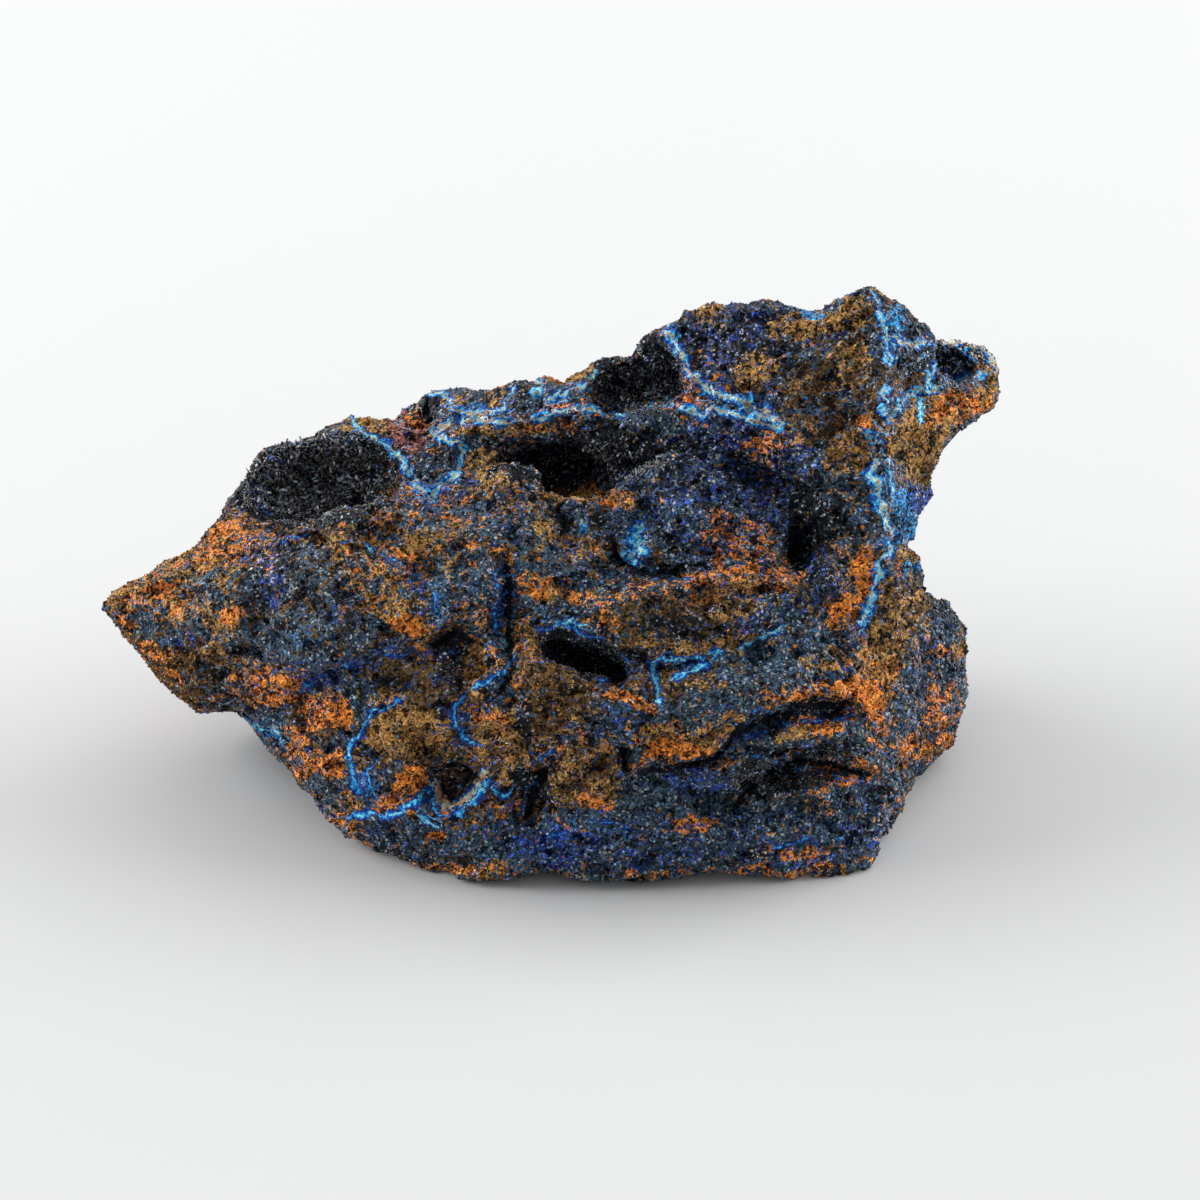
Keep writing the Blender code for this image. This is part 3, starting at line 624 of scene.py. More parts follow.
        ({RUST: 0.35}, 800, 850, 40, 8), ({RUST: 0.45}, 740, 872, 110, 4), ({CREAM: 0.5}, 757, 860, 8, 7),
        ({SLATE: 0.6}, 440, 850, 70, 14), ({RUST: 0.4}, 450, 868, 50, 5),
        ({TURQUOISE: 0.35}, 480, 862, 15, 6),
    ),
    "horn": (
        ({OCHRE: 0.9}, 920, 440, 35, 45), ({UMBER: 0.63}, 905, 375, 28, 22),
        ({OCHRE: 0.6, RUST: 0.6}, 960, 405, 35, 18, 20), ({UMBER: 0.49}, 930, 480, 14, 22),
        ({SLATE: 0.8}, 925, 330, 25, 8), ({NIGHT: 1.0, TURQUOISE: 0.2, CREAM: 0.2}, 935, 360, 42, 16),
        ({TURQUOISE: 0.6}, 978, 350, 18, 16), ({CREAM: 0.7}, 978, 348, 15, 13),
        ({OCHRE: 0.8}, 985, 385, 15, 20), ({TURQUOISE: 0.95}, 910, 530, 18, 45),
        ({ULTRAMARINE: 0.9}, 920, 500, 12, 14), ({OCHRE: 0.7}, 910, 550, 14, 12),
        ({TURQUOISE: 0.9}, 898, 320, 9, 18), ({NIGHT: 0.6}, 890, 330, 6, 15),
    ),
}
PATCHES = tuple(
    Patch(mineral, share, *oval)
    for area in AREAS.values()
    for shares, *oval in area
    for mineral, share in shares.items()
)

# Half-width in divisions, core, and the path.
VEIN_ROWS: dict[str, tuple] = {
    "shelf": (3.6, 0.38, (
        (432, 437), (440, 428), (455, 422), (480, 419), (505, 422), (530, 419), (550, 413), (572, 410),
        (600, 413), (622, 415), (630, 407), (650, 403), (665, 402), (680, 407), (700, 414), (712, 407),
        (725, 408), (738, 415), (750, 420), (782, 427),
    )),
    "tower's left edge": (4.2, 0.42, (
        (662, 318), (668, 330), (676, 345), (686, 360), (690, 372), (700, 382), (715, 390), (730, 396),
        (745, 400), (752, 408), (770, 415), (785, 423),
    )),
    "back ridge": (3.0, 0.4, (
        (430, 391), (445, 395), (452, 408), (470, 413), (490, 412), (503, 408), (508, 398), (512, 390),
    )),
    "ridge step": (3.4, 0.2, ((532, 378), (540, 385), (533, 395))),
    "ridge end": (2.4, 0.3, ((550, 398), (565, 392), (590, 386))),
    "wedge": (3.4, 0.3, (
        (390, 447), (402, 460), (410, 475), (420, 487), (432, 498), (438, 488), (450, 482), (458, 470),
        (462, 460), (460, 445), (440, 435),
    )),
    "vug block": (2.2, 0.2, ((347, 408), (350, 420), (358, 430), (372, 438), (385, 445))),
    "tower top": (3.6, 0.25, ((876, 300), (883, 320), (886, 340), (888, 360))),
    "horn ledge": (3.9, 0.25, (
        (885, 390), (883, 410), (887, 418), (895, 412), (900, 400), (910, 392), (925, 390), (930, 380),
        (935, 368),
    )),
    "horn spur": (2.4, 0.0, ((920, 400), (922, 420))),
    "horn crown": (3.4, 0.5, ((890, 337), (915, 347), (932, 342), (955, 342))),
    "horn pocket": (3.4, 0.4, ((925, 392), (940, 384), (960, 382), (985, 375))),
    "tower's right edge": (4.2, 0.3, (
        (868, 435), (880, 445), (878, 460), (872, 475), (876, 490), (880, 505), (885, 520), (890, 535),
        (888, 550), (880, 558), (878, 575), (873, 592), (866, 610), (862, 622),
    )),
    "beside the right edge": (2.6, 0.2, ((882, 450), (892, 465), (891, 480), (893, 495))),
    "cyan seam": (2.6, -0.12, (
        (658, 700), (657, 685), (655, 675), (653, 663), (670, 660), (700, 656), (720, 653), (705, 664),
        (690, 668), (675, 676),
    )),
    "seam's end": (2.2, 0.1, ((740, 648), (750, 645), (765, 638), (780, 630))),
    "ochre plate": (2.4, -0.28, (
        (398, 700), (385, 706), (372, 712), (366, 725), (360, 735), (352, 745), (350, 760), (352, 775),
        (350, 785), (358, 790),
    )),
    "pocket ledge": (3.0, -0.25, (
        (347, 815), (365, 812), (385, 818), (400, 815), (415, 800), (425, 793), (433, 797), (438, 808),
        (448, 814), (462, 810), (475, 800), (482, 788), (487, 780),
    )),
    "pocket filling": (2.4, 1.2, (
        (435, 785), (440, 798), (450, 804), (462, 800), (470, 795), (478, 785), (485, 772),
    )),
    "ledge hook": (2.2, -0.2, ((495, 790), (505, 795), (510, 790))),
    "foot loop": (2.1, -0.28, (
        (512, 660), (503, 672), (490, 680), (470, 690), (455, 705), (453, 718), (458, 728), (465, 738),
        (480, 745),
    )),
    "shield rim": (1.8, -0.35, (
        (330, 536), (342, 543), (357, 541), (370, 547), (390, 559), (405, 568), (420, 577), (430, 590),
        (435, 600), (436, 612),
    )),
    "crease under the shield": (2.4, -0.55, (
        (450, 652), (430, 655), (408, 656), (381, 656), (355, 662), (330, 670), (309, 685),
    )),
    "slot's upper lip": (2.0, -0.45, (
        (541, 630), (555, 627), (569, 627), (586, 637), (604, 639), (615, 645), (630, 662),
    )),
    "slot's lower lip": (1.8, -0.5, (
        (542, 656), (566, 661), (583, 677), (604, 681), (621, 674), (634, 668),
    )),
    "slot top": (2.4, 0.0, ((556, 624), (568, 621), (580, 624))),
    "crack beside the shield": (2.2, -0.5, ((494, 570), (496, 598), (493, 622), (494, 648))),
    "second crack": (1.8, -0.5, ((512, 575), (515, 600), (513, 622))),
    "tower foot": (1.6, -0.5, ((804, 372), (805, 398), (816, 410), (824, 426))),
    "fold groove": (1.8, -0.5, ((723, 747), (740, 735), (747, 724), (756, 712), (770, 714))),
    "upper slot": (1.8, -0.5, ((748, 738), (770, 730), (795, 724), (822, 720), (852, 716))),
    "ledge slot": (2.0, -0.45, ((752, 756), (790, 766), (830, 774), (868, 782))),
    "small mound gap": (1.8, -0.5, ((640, 562), (660, 575), (690, 580), (720, 574))),
    "left of the bottom": (2.2, -0.5, ((545, 838), (565, 830), (590, 826), (615, 820), (632, 826))),
    "right of the bottom": (2.0, -0.5, ((772, 848), (795, 840), (820, 836), (845, 838))),
    "shield side": (1.8, -0.5, ((240, 560), (262, 548), (290, 540), (318, 533))),
    "foot cleft": (1.8, -0.5, ((548, 752), (536, 770), (528, 790), (524, 808))),
    "mound": (5.0, 0.12, ((638, 526), (632, 536), (643, 545), (634, 557))),
    "horn top": (4.6, 0.7, ((952, 342), (972, 338), (990, 350), (998, 368))),
    "left edge": (2.6, 0.1, ((250, 724), (265, 728), (280, 735), (285, 745))),
    "under the pocket": (2.2, 0.1, ((420, 815), (435, 825))),
    "plate side": (1.8, -0.3, ((376, 760), (368, 772), (372, 786), (380, 800))),
}
VEINS = tuple(Vein(*row) for row in VEIN_ROWS.values())


@dataclass(frozen=True)
class Relief:
    """The lumps, ledges, pits and grain of the rock's surface, whose heights are in mm."""

    noise: StoneNoise
    flattening: Place3 = (0.72, 0.80, 1.0)
    dip: float = math.radians(14)
    lumps: float = 0.80
    ledges: float = 1.1
    ledge_fall: float = 1.9
    cobbles: float = 0.55
    crumbs: float = 0.40
    pit_depth: float = 1.4
    wide_pits: tuple[float, float] = (0.33, 0.52)
    small_pits: tuple[float, float] = (0.40, 0.58)
    small_depth: float = 0.8
    sunk: float = 0.2

    def layered(self, points: Array) -> Array:
        """The points in a space where the rock's layers are drawn out flat, rising to the right.

        Args:
            points: positions in metres.

        Returns:
            The positions to work noise out at.
        """
        cosine, sine = math.cos(self.dip), math.sin(self.dip)
        along = points[:, 0] * cosine + points[:, 2] * sine
        above = points[:, 2] * cosine - points[:, 0] * sine
        return np.column_stack([along, points[:, 1], above]) * self.flattening

    def pits(self, points: Array) -> Array:
        """How deep in a wide or a small pit points lie.

        Args:
            points: positions in metres.

        Returns:
            Values from 0 to 1.
        """
        flat = self.layered(points)
        wide = self.noise.rough(flat, wavelength=3.8, layers=4, channel=20)
        small = self.noise.rough(flat, wavelength=1.7, layers=3, channel=23)
        small_depth = self.small_depth * smooth_step(*self.small_pits, small)
        return np.maximum(smooth_step(*self.wide_pits, wide), small_depth)

    def height(self, points: Array, normals: Array) -> Array:
        """How far the surface stands out.

        Args:
            points: positions in metres.
            normals: the surface normals there.

        Returns:
            Heights in mm.
        """
        ledge = np.abs(self.noise.rough(self.layered(points), wavelength=3.8, layers=3, channel=15))
        cobble = self.noise.cobbles(points + 0.5 * MM * normals, wavelength=2.1, channel=12)
        height = self.lumps * self.noise.rough(points, wavelength=7.0, layers=4, channel=11)
        height += self.ledges * (0.6 - self.ledge_fall * ledge)
        height += self.cobbles * (cobble - 0.45)
        height += self.crumbs * (self.noise.cobbles(points, wavelength=1.0, channel=16) - 0.45)
        height -= self.pit_depth * self.pits(points)
        return height - height.mean() - self.sunk


@dataclass
class MineralMap:
    """Which minerals lie where.

    drift is in divisions. The fields that start with hidden are for the veins of the hidden sides, and
    those that start with patched are shares of what lies away from the patches. vein_reach and far are
    in half-widths. The pits are darkened with black NIGHT as painted shade, less where the patches lie.
    """

    sheet: DisplaySheet
    noise: StoneNoise
    relief: Relief
    regions: float = 2.6
    drift: float = 12.0
    vein_drift: float = 0.35
    clumping: float = 1.5
    flatness: float = 1.3
    stray: float = 0.28
    patched_stray: float = 0.5
    pit_shade: float = 0.7
    patched_pit_shade: float = 0.3
    hidden_vein: float = 0.05
    hidden_core: float = 0.25
    lodes: tuple[float, float] = (0.12, 0.3)
    vein_reach: float = 3.0
    vein_fade: float = 1.6
    cleft_rise: float = -1.4
    cleft_width: float = 0.6
    shown: float = 0.3
    far: float = 8.0

    def _ground(self, points: Array) -> Array:
        """The shares of the minerals away from the patches.

        Args:
            points: positions in metres.

        Returns:
            An array with a column for each mineral. Each row adds up to 1.
        """
        strength = [
            math.log(tint.ground)
            + self.regions * self.noise.rough(points, wavelength=15.0, layers=4, channel=40 + mineral.value)
            for mineral, tint in TINTS.items()
        ]
        shares = np.exp(np.column_stack(strength))
        return shares / shares.sum(axis=1)[:, None]

    def _drifted(self, points: Array, drift: float) -> Array:
        """The divisions of points, moved about a little so that no edge is even."""
        drifts = [self.noise.rough(points, wavelength=4.5, layers=4, channel=channel) for channel in (31, 32)]
        return self.sheet.places(points) + drift * np.column_stack(drifts)

    def shares(self, points: Array, normals: Array) -> Array:
        """How much of the surface each mineral makes up.

        Args:
            points: positions in metres.
            normals: the surface normals there.

        Returns:
            An array with a column for each mineral. Each row adds up to 1.
        """
        shares = self._ground(points)
        facing = self.sheet.facing(points, normals)
        places = self._drifted(points, self.drift)
        bare = np.ones(len(points))
        for patch in PATCHES:
            cover = patch.cover(places) * facing
            shares *= (1 - cover)[:, None]
            shares[:, patch.mineral.value] += cover
            bare *= 1 - cover
        stray = (self.stray * (self.patched_stray + (1 - self.patched_stray) * bare))[:, None]
        shares = (1 - stray) * shares + stray * np.array([tint.stray for tint in TINTS.values()])
        flat = self.relief.layered(points) * self.flatness
        for mineral, tint in TINTS.items():
            clump = self.noise.rough(flat, tint.clump, layers=4, channel=60 + mineral.value)
            shares[:, mineral.value] *= np.exp(self.clumping * clump)
        shares /= shares.sum(axis=1)[:, None]
        # Painted shade: the pits are darkened with black, as if shade fell in them, less where patches lie.
        pits = self.relief.pits(points) * (self.patched_pit_shade + (1 - self.patched_pit_shade) * bare)
        dark = self.pit_shade * pits
        shares *= (1 - dark)[:, None]
        shares[:, NIGHT.value] += dark
        return shares

    def layers(self, points: Array, normals: Array) -> dict[str, Array]:
        """What a surface of stone is made of.

        Args:
            points: positions in metres.
            normals: the surface normals there.

        Returns:
            For each attribute of the stone's finish, an array of four columns. Those of earths and ores
            say how much of the minerals laid before it each mineral covers.
        """
        shares = self.shares(points, normals)
        below = np.cumsum(shares, axis=1)
        cover = np.clip(shares / np.maximum(below, 1e-6), 0, 1)
        return {"earths": cover[:, 1:5], "ores": cover[:, 5:9], "vein": self.veins(points, normals)}

    def veins(self, points: Array, normals: Array) -> Array:
        """Where the veins and the clefts run.

        Args:
            points: positions in metres.
            normals: the surface normals there.

        Returns:
            An array of four columns: the signed distance from the vein's middle line in half-widths,
            how strong the vein is, how much of its band the core takes, and the distance from the
            middle of the nearest cleft in half-widths.
        """
        facing = self.sheet.facing(points, normals)
        places = self._drifted(points, self.vein_drift * self.drift)
        wild = self.noise.rough(points, wavelength=16.0, layers=3, channel=81) / self.hidden_vein
        lode = smooth_step(*self.lodes, self.noise.rough(points, wavelength=11.0, layers=2, channel=82))
        found = np.column_stack([wild, lode * (1 - facing), np.full(len(points), self.hidden_core)])
        nearest = np.full(len(points), np.inf)
        for vein in VEINS:
            offset = path_offset(places, vein.path) / vein.half_width
            away = np.abs(offset)
            closer = (away < nearest) & (facing > self.shown) & (away < 2 * self.vein_reach)
            nearest = np.where(closer, away, nearest)
            found[closer] = np.column_stack([offset, facing, np.full(len(points), vein.core)])[closer]
        found[:, 0] = np.clip(found[:, 0], -self.far, self.far)
        fade = smooth_step(self.vein_reach, self.vein_fade * self.vein_reach, np.abs(found[:, 0]))
        found[:, 1] *= 1 - fade
        cleft = np.full(len(points), self.far)
        for fold in FOLDS:
            if fold.rise <= self.cleft_rise:
                away = np.abs(path_offset(places, fold.path)) / (self.cleft_width * fold.half_width)
                cleft = np.minimum(cleft, away)
        return np.column_stack([found, np.where(facing > self.shown, cleft, self.far)])


# Half-width in divisions, rise in mm, and the path.
FOLD_ROWS: dict[str, tuple] = {
    "crack beside the shield": (5, -1.8, ((507, 562), (512, 600), (508, 640), (513, 672), (500, 692))),
    "crease under the shield": (5, -1.2, ((300, 690), (345, 668), (385, 652), (430, 643), (452, 624))),
    "dark corner": (9, -1.6, ((436, 645), (455, 632), (470, 642))),
    "shadow wall": (6, -1.3, ((462, 655), (465, 700))),
    "foot cleft": (7, -2.2, ((550, 760), (537, 790), (528, 815))),
    "pinhole": (5, -2.5, ((622, 746), (624, 768))),
    "cyan seam": (5, -0.8, ((654, 700), (655, 672), (690, 663), (722, 656), (762, 640), (800, 622))),
    "fold groove": (6, -1.5, ((640, 772), (690, 765), (722, 750), (745, 727), (790, 714))),
    "lower fold groove": (7, -1.8, ((737, 806), (752, 780), (792, 766))),
    "nick": (5, -2.0, ((690, 788), (700, 798))),
    "window": (7, -3.0, ((560, 516), (568, 526))),
    "small mound gap": (6, -1.5, ((614, 536), (618, 558), (640, 572), (680, 576))),
    "shield side groove": (6, -1.2, ((248, 562), (285, 549), (322, 538))),
    "shield rim": (5, 1.0, (
        (335, 534), (375, 548), (410, 568), (432, 590), (440, 618), (425, 640), (390, 650),
    )),
    "vug rim": (6, 0.8, ((232, 520), (270, 529), (310, 528), (350, 516), (392, 503), (440, 505))),
    "basin rim": (6, 1.0, ((620, 596), (660, 590), (700, 579), (745, 576), (800, 581))),
    "brown ledge": (12, 0.8, ((600, 612), (650, 606), (700, 610), (750, 612))),
    "slot lower lip": (7, 0.9, ((500, 658), (540, 670), (590, 689), (640, 682))),
    "rust fold": (7, 1.0, ((790, 692), (840, 692), (880, 716))),
    "lens fold": (9, 1.0, ((745, 746), (790, 738), (830, 732), (868, 738))),
    "upper slot": (6, -2.0, ((795, 708), (822, 705), (850, 707))),
    "ledge slot": (6, -2.5, ((748, 748), (790, 755), (830, 764), (866, 772))),
    "rusty bulge": (24, 0.8, ((575, 780), (610, 800))),
    "ochre plate": (18, 0.7, ((385, 735), (432, 728))),
    "shelf lip": (5, 1.0, ((440, 430), (480, 421), (570, 412), (640, 405), (700, 409), (788, 427))),
    "tower edge": (5, 1.0, ((666, 318), (676, 345), (692, 368), (722, 390), (758, 405), (790, 425))),
    "corner edge": (6, 1.0, ((884, 300), (884, 440), (893, 500), (890, 560), (905, 610), (930, 640))),
    "pocket ledge": (6, 1.0, ((350, 818), (385, 822), (420, 805), (446, 814), (482, 792))),
    "pocket rim": (5, 1.2, ((435, 785), (440, 798), (450, 804), (462, 800), (470, 795), (478, 785))),
    "mound top groove": (5, -0.7, ((640, 500), (680, 492), (720, 494), (760, 505))),
    "mound side": (6, -0.9, ((700, 560), (720, 530), (705, 505))),
    "wedge side": (5, -0.8, ((395, 448), (412, 474), (432, 498))),
    "nodule": (7, 1.3, ((416, 417), (422, 418))),
    "vug block edge": (5, 0.9, ((336, 412), (362, 410), (392, 416), (432, 420))),
    "plate edge": (5, -1.0, ((366, 725), (378, 745), (405, 755), (440, 748), (456, 728))),
    "plate top": (4, -0.8, ((385, 708), (415, 708), (445, 706))),
    "snout ridge": (8, 0.8, ((118, 596), (160, 570), (205, 548), (236, 528))),
    "snout fold": (7, -0.8, ((140, 625), (185, 632), (225, 640), (262, 652))),
    "shield pit": (6, -0.9, ((300, 585), (315, 600))),
    "shield knob": (12, 0.9, ((330, 575), (345, 590))),
    "middle ledge": (6, 0.9, ((525, 575), (560, 566), (600, 572))),
    "middle groove": (5, -1.0, ((525, 590), (560, 584), (600, 586), (640, 580))),
    "under the ledge": (5, -0.9, ((560, 622), (600, 630), (660, 628), (720, 630), (760, 622))),
    "rust wall groove": (5, -0.8, ((640, 604), (690, 596), (740, 590), (790, 590))),
    "tower face pit": (9, -0.9, ((760, 345), (790, 350))),
    "tower face ridge": (7, 0.9, ((735, 325), (775, 322), (820, 332), (850, 345))),
    "tower foot": (6, -0.8, ((800, 400), (830, 430), (850, 460))),
    "hand ledge": (8, 0.8, ((890, 640), (905, 655), (912, 680), (905, 720))),
    "hand groove": (5, -1.0, ((862, 640), (885, 648), (905, 645))),
    "flank groove": (5, -1.1, ((938, 610), (940, 650), (936, 700))),
    "lower right step": (6, 0.8, ((870, 760), (890, 790), (892, 830), (885, 856))),
    "lower right groove": (6, -1.0, ((840, 790), (850, 820), (848, 850))),
    "belly groove": (6, -0.8, ((640, 812), (690, 806), (740, 812), (790, 806))),
    "belly step": (8, 0.7, ((560, 822), (620, 826), (690, 836), (760, 838))),
    "left foot groove": (6, -0.9, ((290, 762), (330, 790), (350, 812))),
    "red flank ridge": (7, 0.8, ((270, 730), (300, 752), (330, 776))),
}
FOLDS = tuple(Fold(*row) for row in FOLD_ROWS.values())


def surface_arrays(mesh: bpy.types.Mesh) -> tuple[Array, Array]:
    """The points of a mesh and their normals.

    Args:
        mesh: the mesh to read.

    Returns:
        Two arrays with a row for each vertex.
    """
    points = np.empty(len(mesh.vertices) * 3)
    mesh.vertices.foreach_get("co", points)
    normals = np.empty(len(mesh.vertices) * 3)
    mesh.vertex_normals.foreach_get("vector", normals)
    return points.reshape(-1, 3), normals.reshape(-1, 3)


def set_attribute(mesh: bpy.types.Mesh, name: str, values: Array) -> None:
    """Stores four numbers at each vertex of a mesh, as a colour attribute.

    Args:
        mesh: the mesh to store them in.
        name: the attribute's name.
        values: an array with four columns.
    """
    attribute = mesh.attributes.new(name, "FLOAT_COLOR", "POINT")
    attribute.data.foreach_set("color", values.astype(np.float32).ravel())


def applied(piece: Object, kind: str, **settings: object) -> None:
    """Adds a modifier to a piece and applies it.

    Args:
        piece: the object to change.
        kind: the type of modifier.
        **settings: the modifier's own settings.
    """
    modifier = piece.modifiers.new(kind.lower(), kind)
    for name, value in settings.items():
        setattr(modifier, name, value)
    bpy.context.view_layer.update()
    shaped = bpy.data.meshes.new_from_object(piece.evaluated_get(bpy.context.evaluated_depsgraph_get()))
    piece.modifiers.clear()
    piece.data = shaped


@dataclass
class Rock:
    """The lump of gossan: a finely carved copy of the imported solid.

    The drifts are in divisions. shown_thinning is how readily the display side loses its faces, where
    the hidden sides are at 1.
    """

    sheet: DisplaySheet
    minerals: MineralMap
    noise: StoneNoise
    name: str = "gossan_rock"
    node: str = "gossan_matrix"
    first_voxel: float = 0.7 * MM
    last_voxel: float = 0.42 * MM
    fold_drift: float = 5.0
    outline_drift: float = 2.0
    trimmed: float = 0.9
    triangles: int = 196_000
    shown: float = 0.3
    shown_thinning: float = 0.35
    piece: Object | None = None

    def build(self) -> Object:
        """Carves the rock and lays out its minerals.

        Returns:
            The rock's object.
        """
        self.piece = placed(self.name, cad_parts[self.node].data.copy())
        self._merge()
        applied(self.piece, "REMESH", mode="VOXEL", voxel_size=self.first_voxel)
        applied(self.piece, "SMOOTH", factor=0.5, iterations=5)
        applied(self.piece, "REMESH", mode="VOXEL", voxel_size=self.last_voxel)
        self._fold()
        self._roughen()
        self._trim()
        self._thin()
        self._rest()
        self._lay_minerals()
        return self.piece

    def _merge(self) -> None:
        """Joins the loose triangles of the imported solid."""
        bm = bmesh.new()
        bm.from_mesh(self.piece.data)
        bmesh.ops.remove_doubles(bm, verts=bm.verts, dist=1e-6)
        bm.to_mesh(self.piece.data)
        bm.free()

    def _move(self, points: Array) -> None:
        """Puts the rock's vertices at these points."""
        self.piece.data.vertices.foreach_set("co", points.ravel())
        self.piece.data.update()

    def _fold(self) -> None:
        """Raises the ledges and cuts the clefts of the display side, along the sight lines."""
        points, normals = surface_arrays(self.piece.data)
        facing = self.sheet.facing(points, normals)
        drifts = [self.noise.rough(points, wavelength=4.0, layers=3, channel=channel) for channel in (21, 22)]
        places = self.sheet.places(points) + self.fold_drift * np.column_stack(drifts)
        height = np.zeros(len(points))
        for fold in FOLDS:
            spread = path_offset(places, fold.path) / fold.half_width
            height += fold.rise * MM * np.exp(-(spread**2))
        self._move(points + self.sheet.to_eye(points) * (height * facing)[:, None])

    def _roughen(self) -> None:
        """Covers the rock with lumps, pits and grain."""
        points, normals = surface_arrays(self.piece.data)
        height = self.minerals.relief.height(points, normals)
        self._move(points + normals * (height * MM)[:, None])

    def _trim(self) -> None:
        """Draws in what stands out past the outline of the display side."""
        points, _ = surface_arrays(self.piece.data)
        drifts = [self.noise.rough(points, wavelength=1.6, layers=2, channel=channel) for channel in (91, 92)]
        places = self.sheet.places(points) + self.outline_drift * np.column_stack(drifts)
        steps = past_outline(places) * self.sheet.division
        inwards = steps[:, :1] * np.array([1, 0, 0]) - steps[:, 1:] * np.array(self.sheet.upward)
        self._move(points + self.trimmed * inwards)

    def _thin(self) -> None:
        """Takes out the faces that show least."""
        count = sum(len(face.vertices) - 2 for face in self.piece.data.polygons)
        LOG.info("rock carved with %d triangles", count)
        points, normals = surface_arrays(self.piece.data)
        hidden = self.sheet.facing(points, normals) < self.shown
        spare = self.piece.vertex_groups.new(name="spare")
        for weight, chosen in ((1.0, hidden), (self.shown_thinning, ~hidden)):
            spare.add(np.flatnonzero(chosen).tolist(), weight, "REPLACE")
        if count > self.triangles:
            thinning = {"vertex_group": "spare", "vertex_group_factor": 1.0, "use_collapse_triangulate": True}
            applied(self.piece, "DECIMATE", ratio=self.triangles / count, **thinning)

    def _rest(self) -> None:
        """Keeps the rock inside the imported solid's box, flat where it stands."""
        points, _ = surface_arrays(self.piece.data)
        low, high = (np.array(corner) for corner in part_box(self.node))
        self._move(np.clip(points, low, high))

    def _lay_minerals(self) -> None:
        """Stores what the surface is made of, layer over layer."""
        for name, values in self.minerals.layers(*surface_arrays(self.piece.data)).items():
            set_attribute(self.piece.data, name, values)


@dataclass(frozen=True)
class Facet:
    """A small solid that is repeated: its corners, and its faces as triangles."""

    corners: Array
    triangles: Array

    @classmethod
    def of(cls, bm: bmesh.types.BMesh) -> Facet:
        """Takes the shape of a mesh under construction, and frees it.

        Args:
            bm: the closed shape, about 1 across.

        Returns:
            The small solid.
        """
        bmesh.ops.recalc_face_normals(bm, faces=bm.faces)
        bmesh.ops.triangulate(bm, faces=bm.faces)
        bm.verts.index_update()
        corners = np.array([vert.co for vert in bm.verts])
        triangles = np.array([[vert.index for vert in face.verts] for face in bm.faces])
        bm.free()
        return cls(corners, triangles)


class Habit(Enum):
    """The shapes that crystals and grains grow in."""

    TABLET = "tablet"
    BLADE = "blade"
    GRAIN = "grain"

    def facet(self) -> Facet:
        """Makes one solid of this habit.

        Returns:
            The small solid.
        """
        bm = bmesh.new()
        if self is Habit.TABLET:
            bmesh.ops.create_cone(bm, cap_ends=True, segments=6, radius1=0.60, radius2=0.48, depth=0.24)
            bmesh.ops.scale(bm, vec=(1.0, 0.7, 1.0), verts=bm.verts)
        elif self is Habit.BLADE:
            bmesh.ops.create_cube(bm, size=1)
            top = [vert for vert in bm.verts if vert.co.z > 0]
            bmesh.ops.scale(bm, vec=(0.60, 0.55, 1.0), verts=top)
            bmesh.ops.scale(bm, vec=(0.55, 0.18, 1.60), verts=bm.verts)
        else:
            bmesh.ops.create_uvsphere(bm, u_segments=4, v_segments=2, radius=0.5)
            bmesh.ops.scale(bm, vec=(1.0, 0.85, 0.75), verts=bm.verts)
        return Facet.of(bm)


@dataclass
class Growth:
    """Many small solids, joined into one piece, each with proportions and looks of its own."""

    name: str
    habits: tuple[Habit, ...]
    random: np.random.Generator
    proportions: tuple[float, float] = (0.75, 1.3)

    def _turned(self, outwards: Array, lean: float) -> Array:
        """The way each solid stands, upright on its wall but for a lean, and turned at random.

        Args:
            outwards: the surface normals where they grow.
            lean: how far they lean at random.

        Returns:
            An array of three unit vectors for each solid, as the columns of a matrix.
        """
        upright = outwards + lean * self.random.normal(size=outwards.shape)
        upright /= np.linalg.norm(upright, axis=1)[:, None]
        sideways = np.cross(upright, self.random.normal(size=outwards.shape))
        sideways /= np.linalg.norm(sideways, axis=1)[:, None]
        return np.stack([sideways, np.cross(upright, sideways), upright], axis=2)

    def join(
        self, soil: Soil, sizes: Array, looks: dict[str, Array], sunk: float, lean: float
    ) -> Object:
        """Makes the piece.

        Args:
            soil: where each solid grows.
            sizes: how far each one reaches across, in metres.
            looks: the attributes of the finish, with a row for each solid.
            sunk: how far the middle of each one stands off its wall, as a share of its size.
            lean: how far they lean at random.

        Returns:
            The joined object.
        """
        frames = self._turned(soil.outwards, lean)
        spots = soil.spots + soil.outwards * (sunk * sizes)[:, None]
        kinds = self.random.integers(len(self.habits), size=len(spots))
        corners, triangles, owners, first = [], [], [], 0
        for kind, habit in enumerate(self.habits):
            facet, chosen = habit.facet(), kinds == kind
            stretch = self.random.uniform(*self.proportions, size=(chosen.sum(), 1, 3))
            stretch = stretch * sizes[chosen][:, None, None]
            shaped = np.einsum("nij,nkj->nki", frames[chosen], facet.corners * stretch)
            corners.append((shaped + spots[chosen][:, None]).reshape(-1, 3))
            starts = first + np.arange(chosen.sum()) * len(facet.corners)
            triangles.append((facet.triangles[None] + starts[:, None, None]).reshape(-1, 3))
            owners.append(np.repeat(np.flatnonzero(chosen), len(facet.corners)))
            first += chosen.sum() * len(facet.corners)
        mesh = joined_mesh(self.name, np.concatenate(corners), np.concatenate(triangles))
        for name, values in looks.items():
            set_attribute(mesh, name, values[np.concatenate(owners)])
        return placed(self.name, mesh)


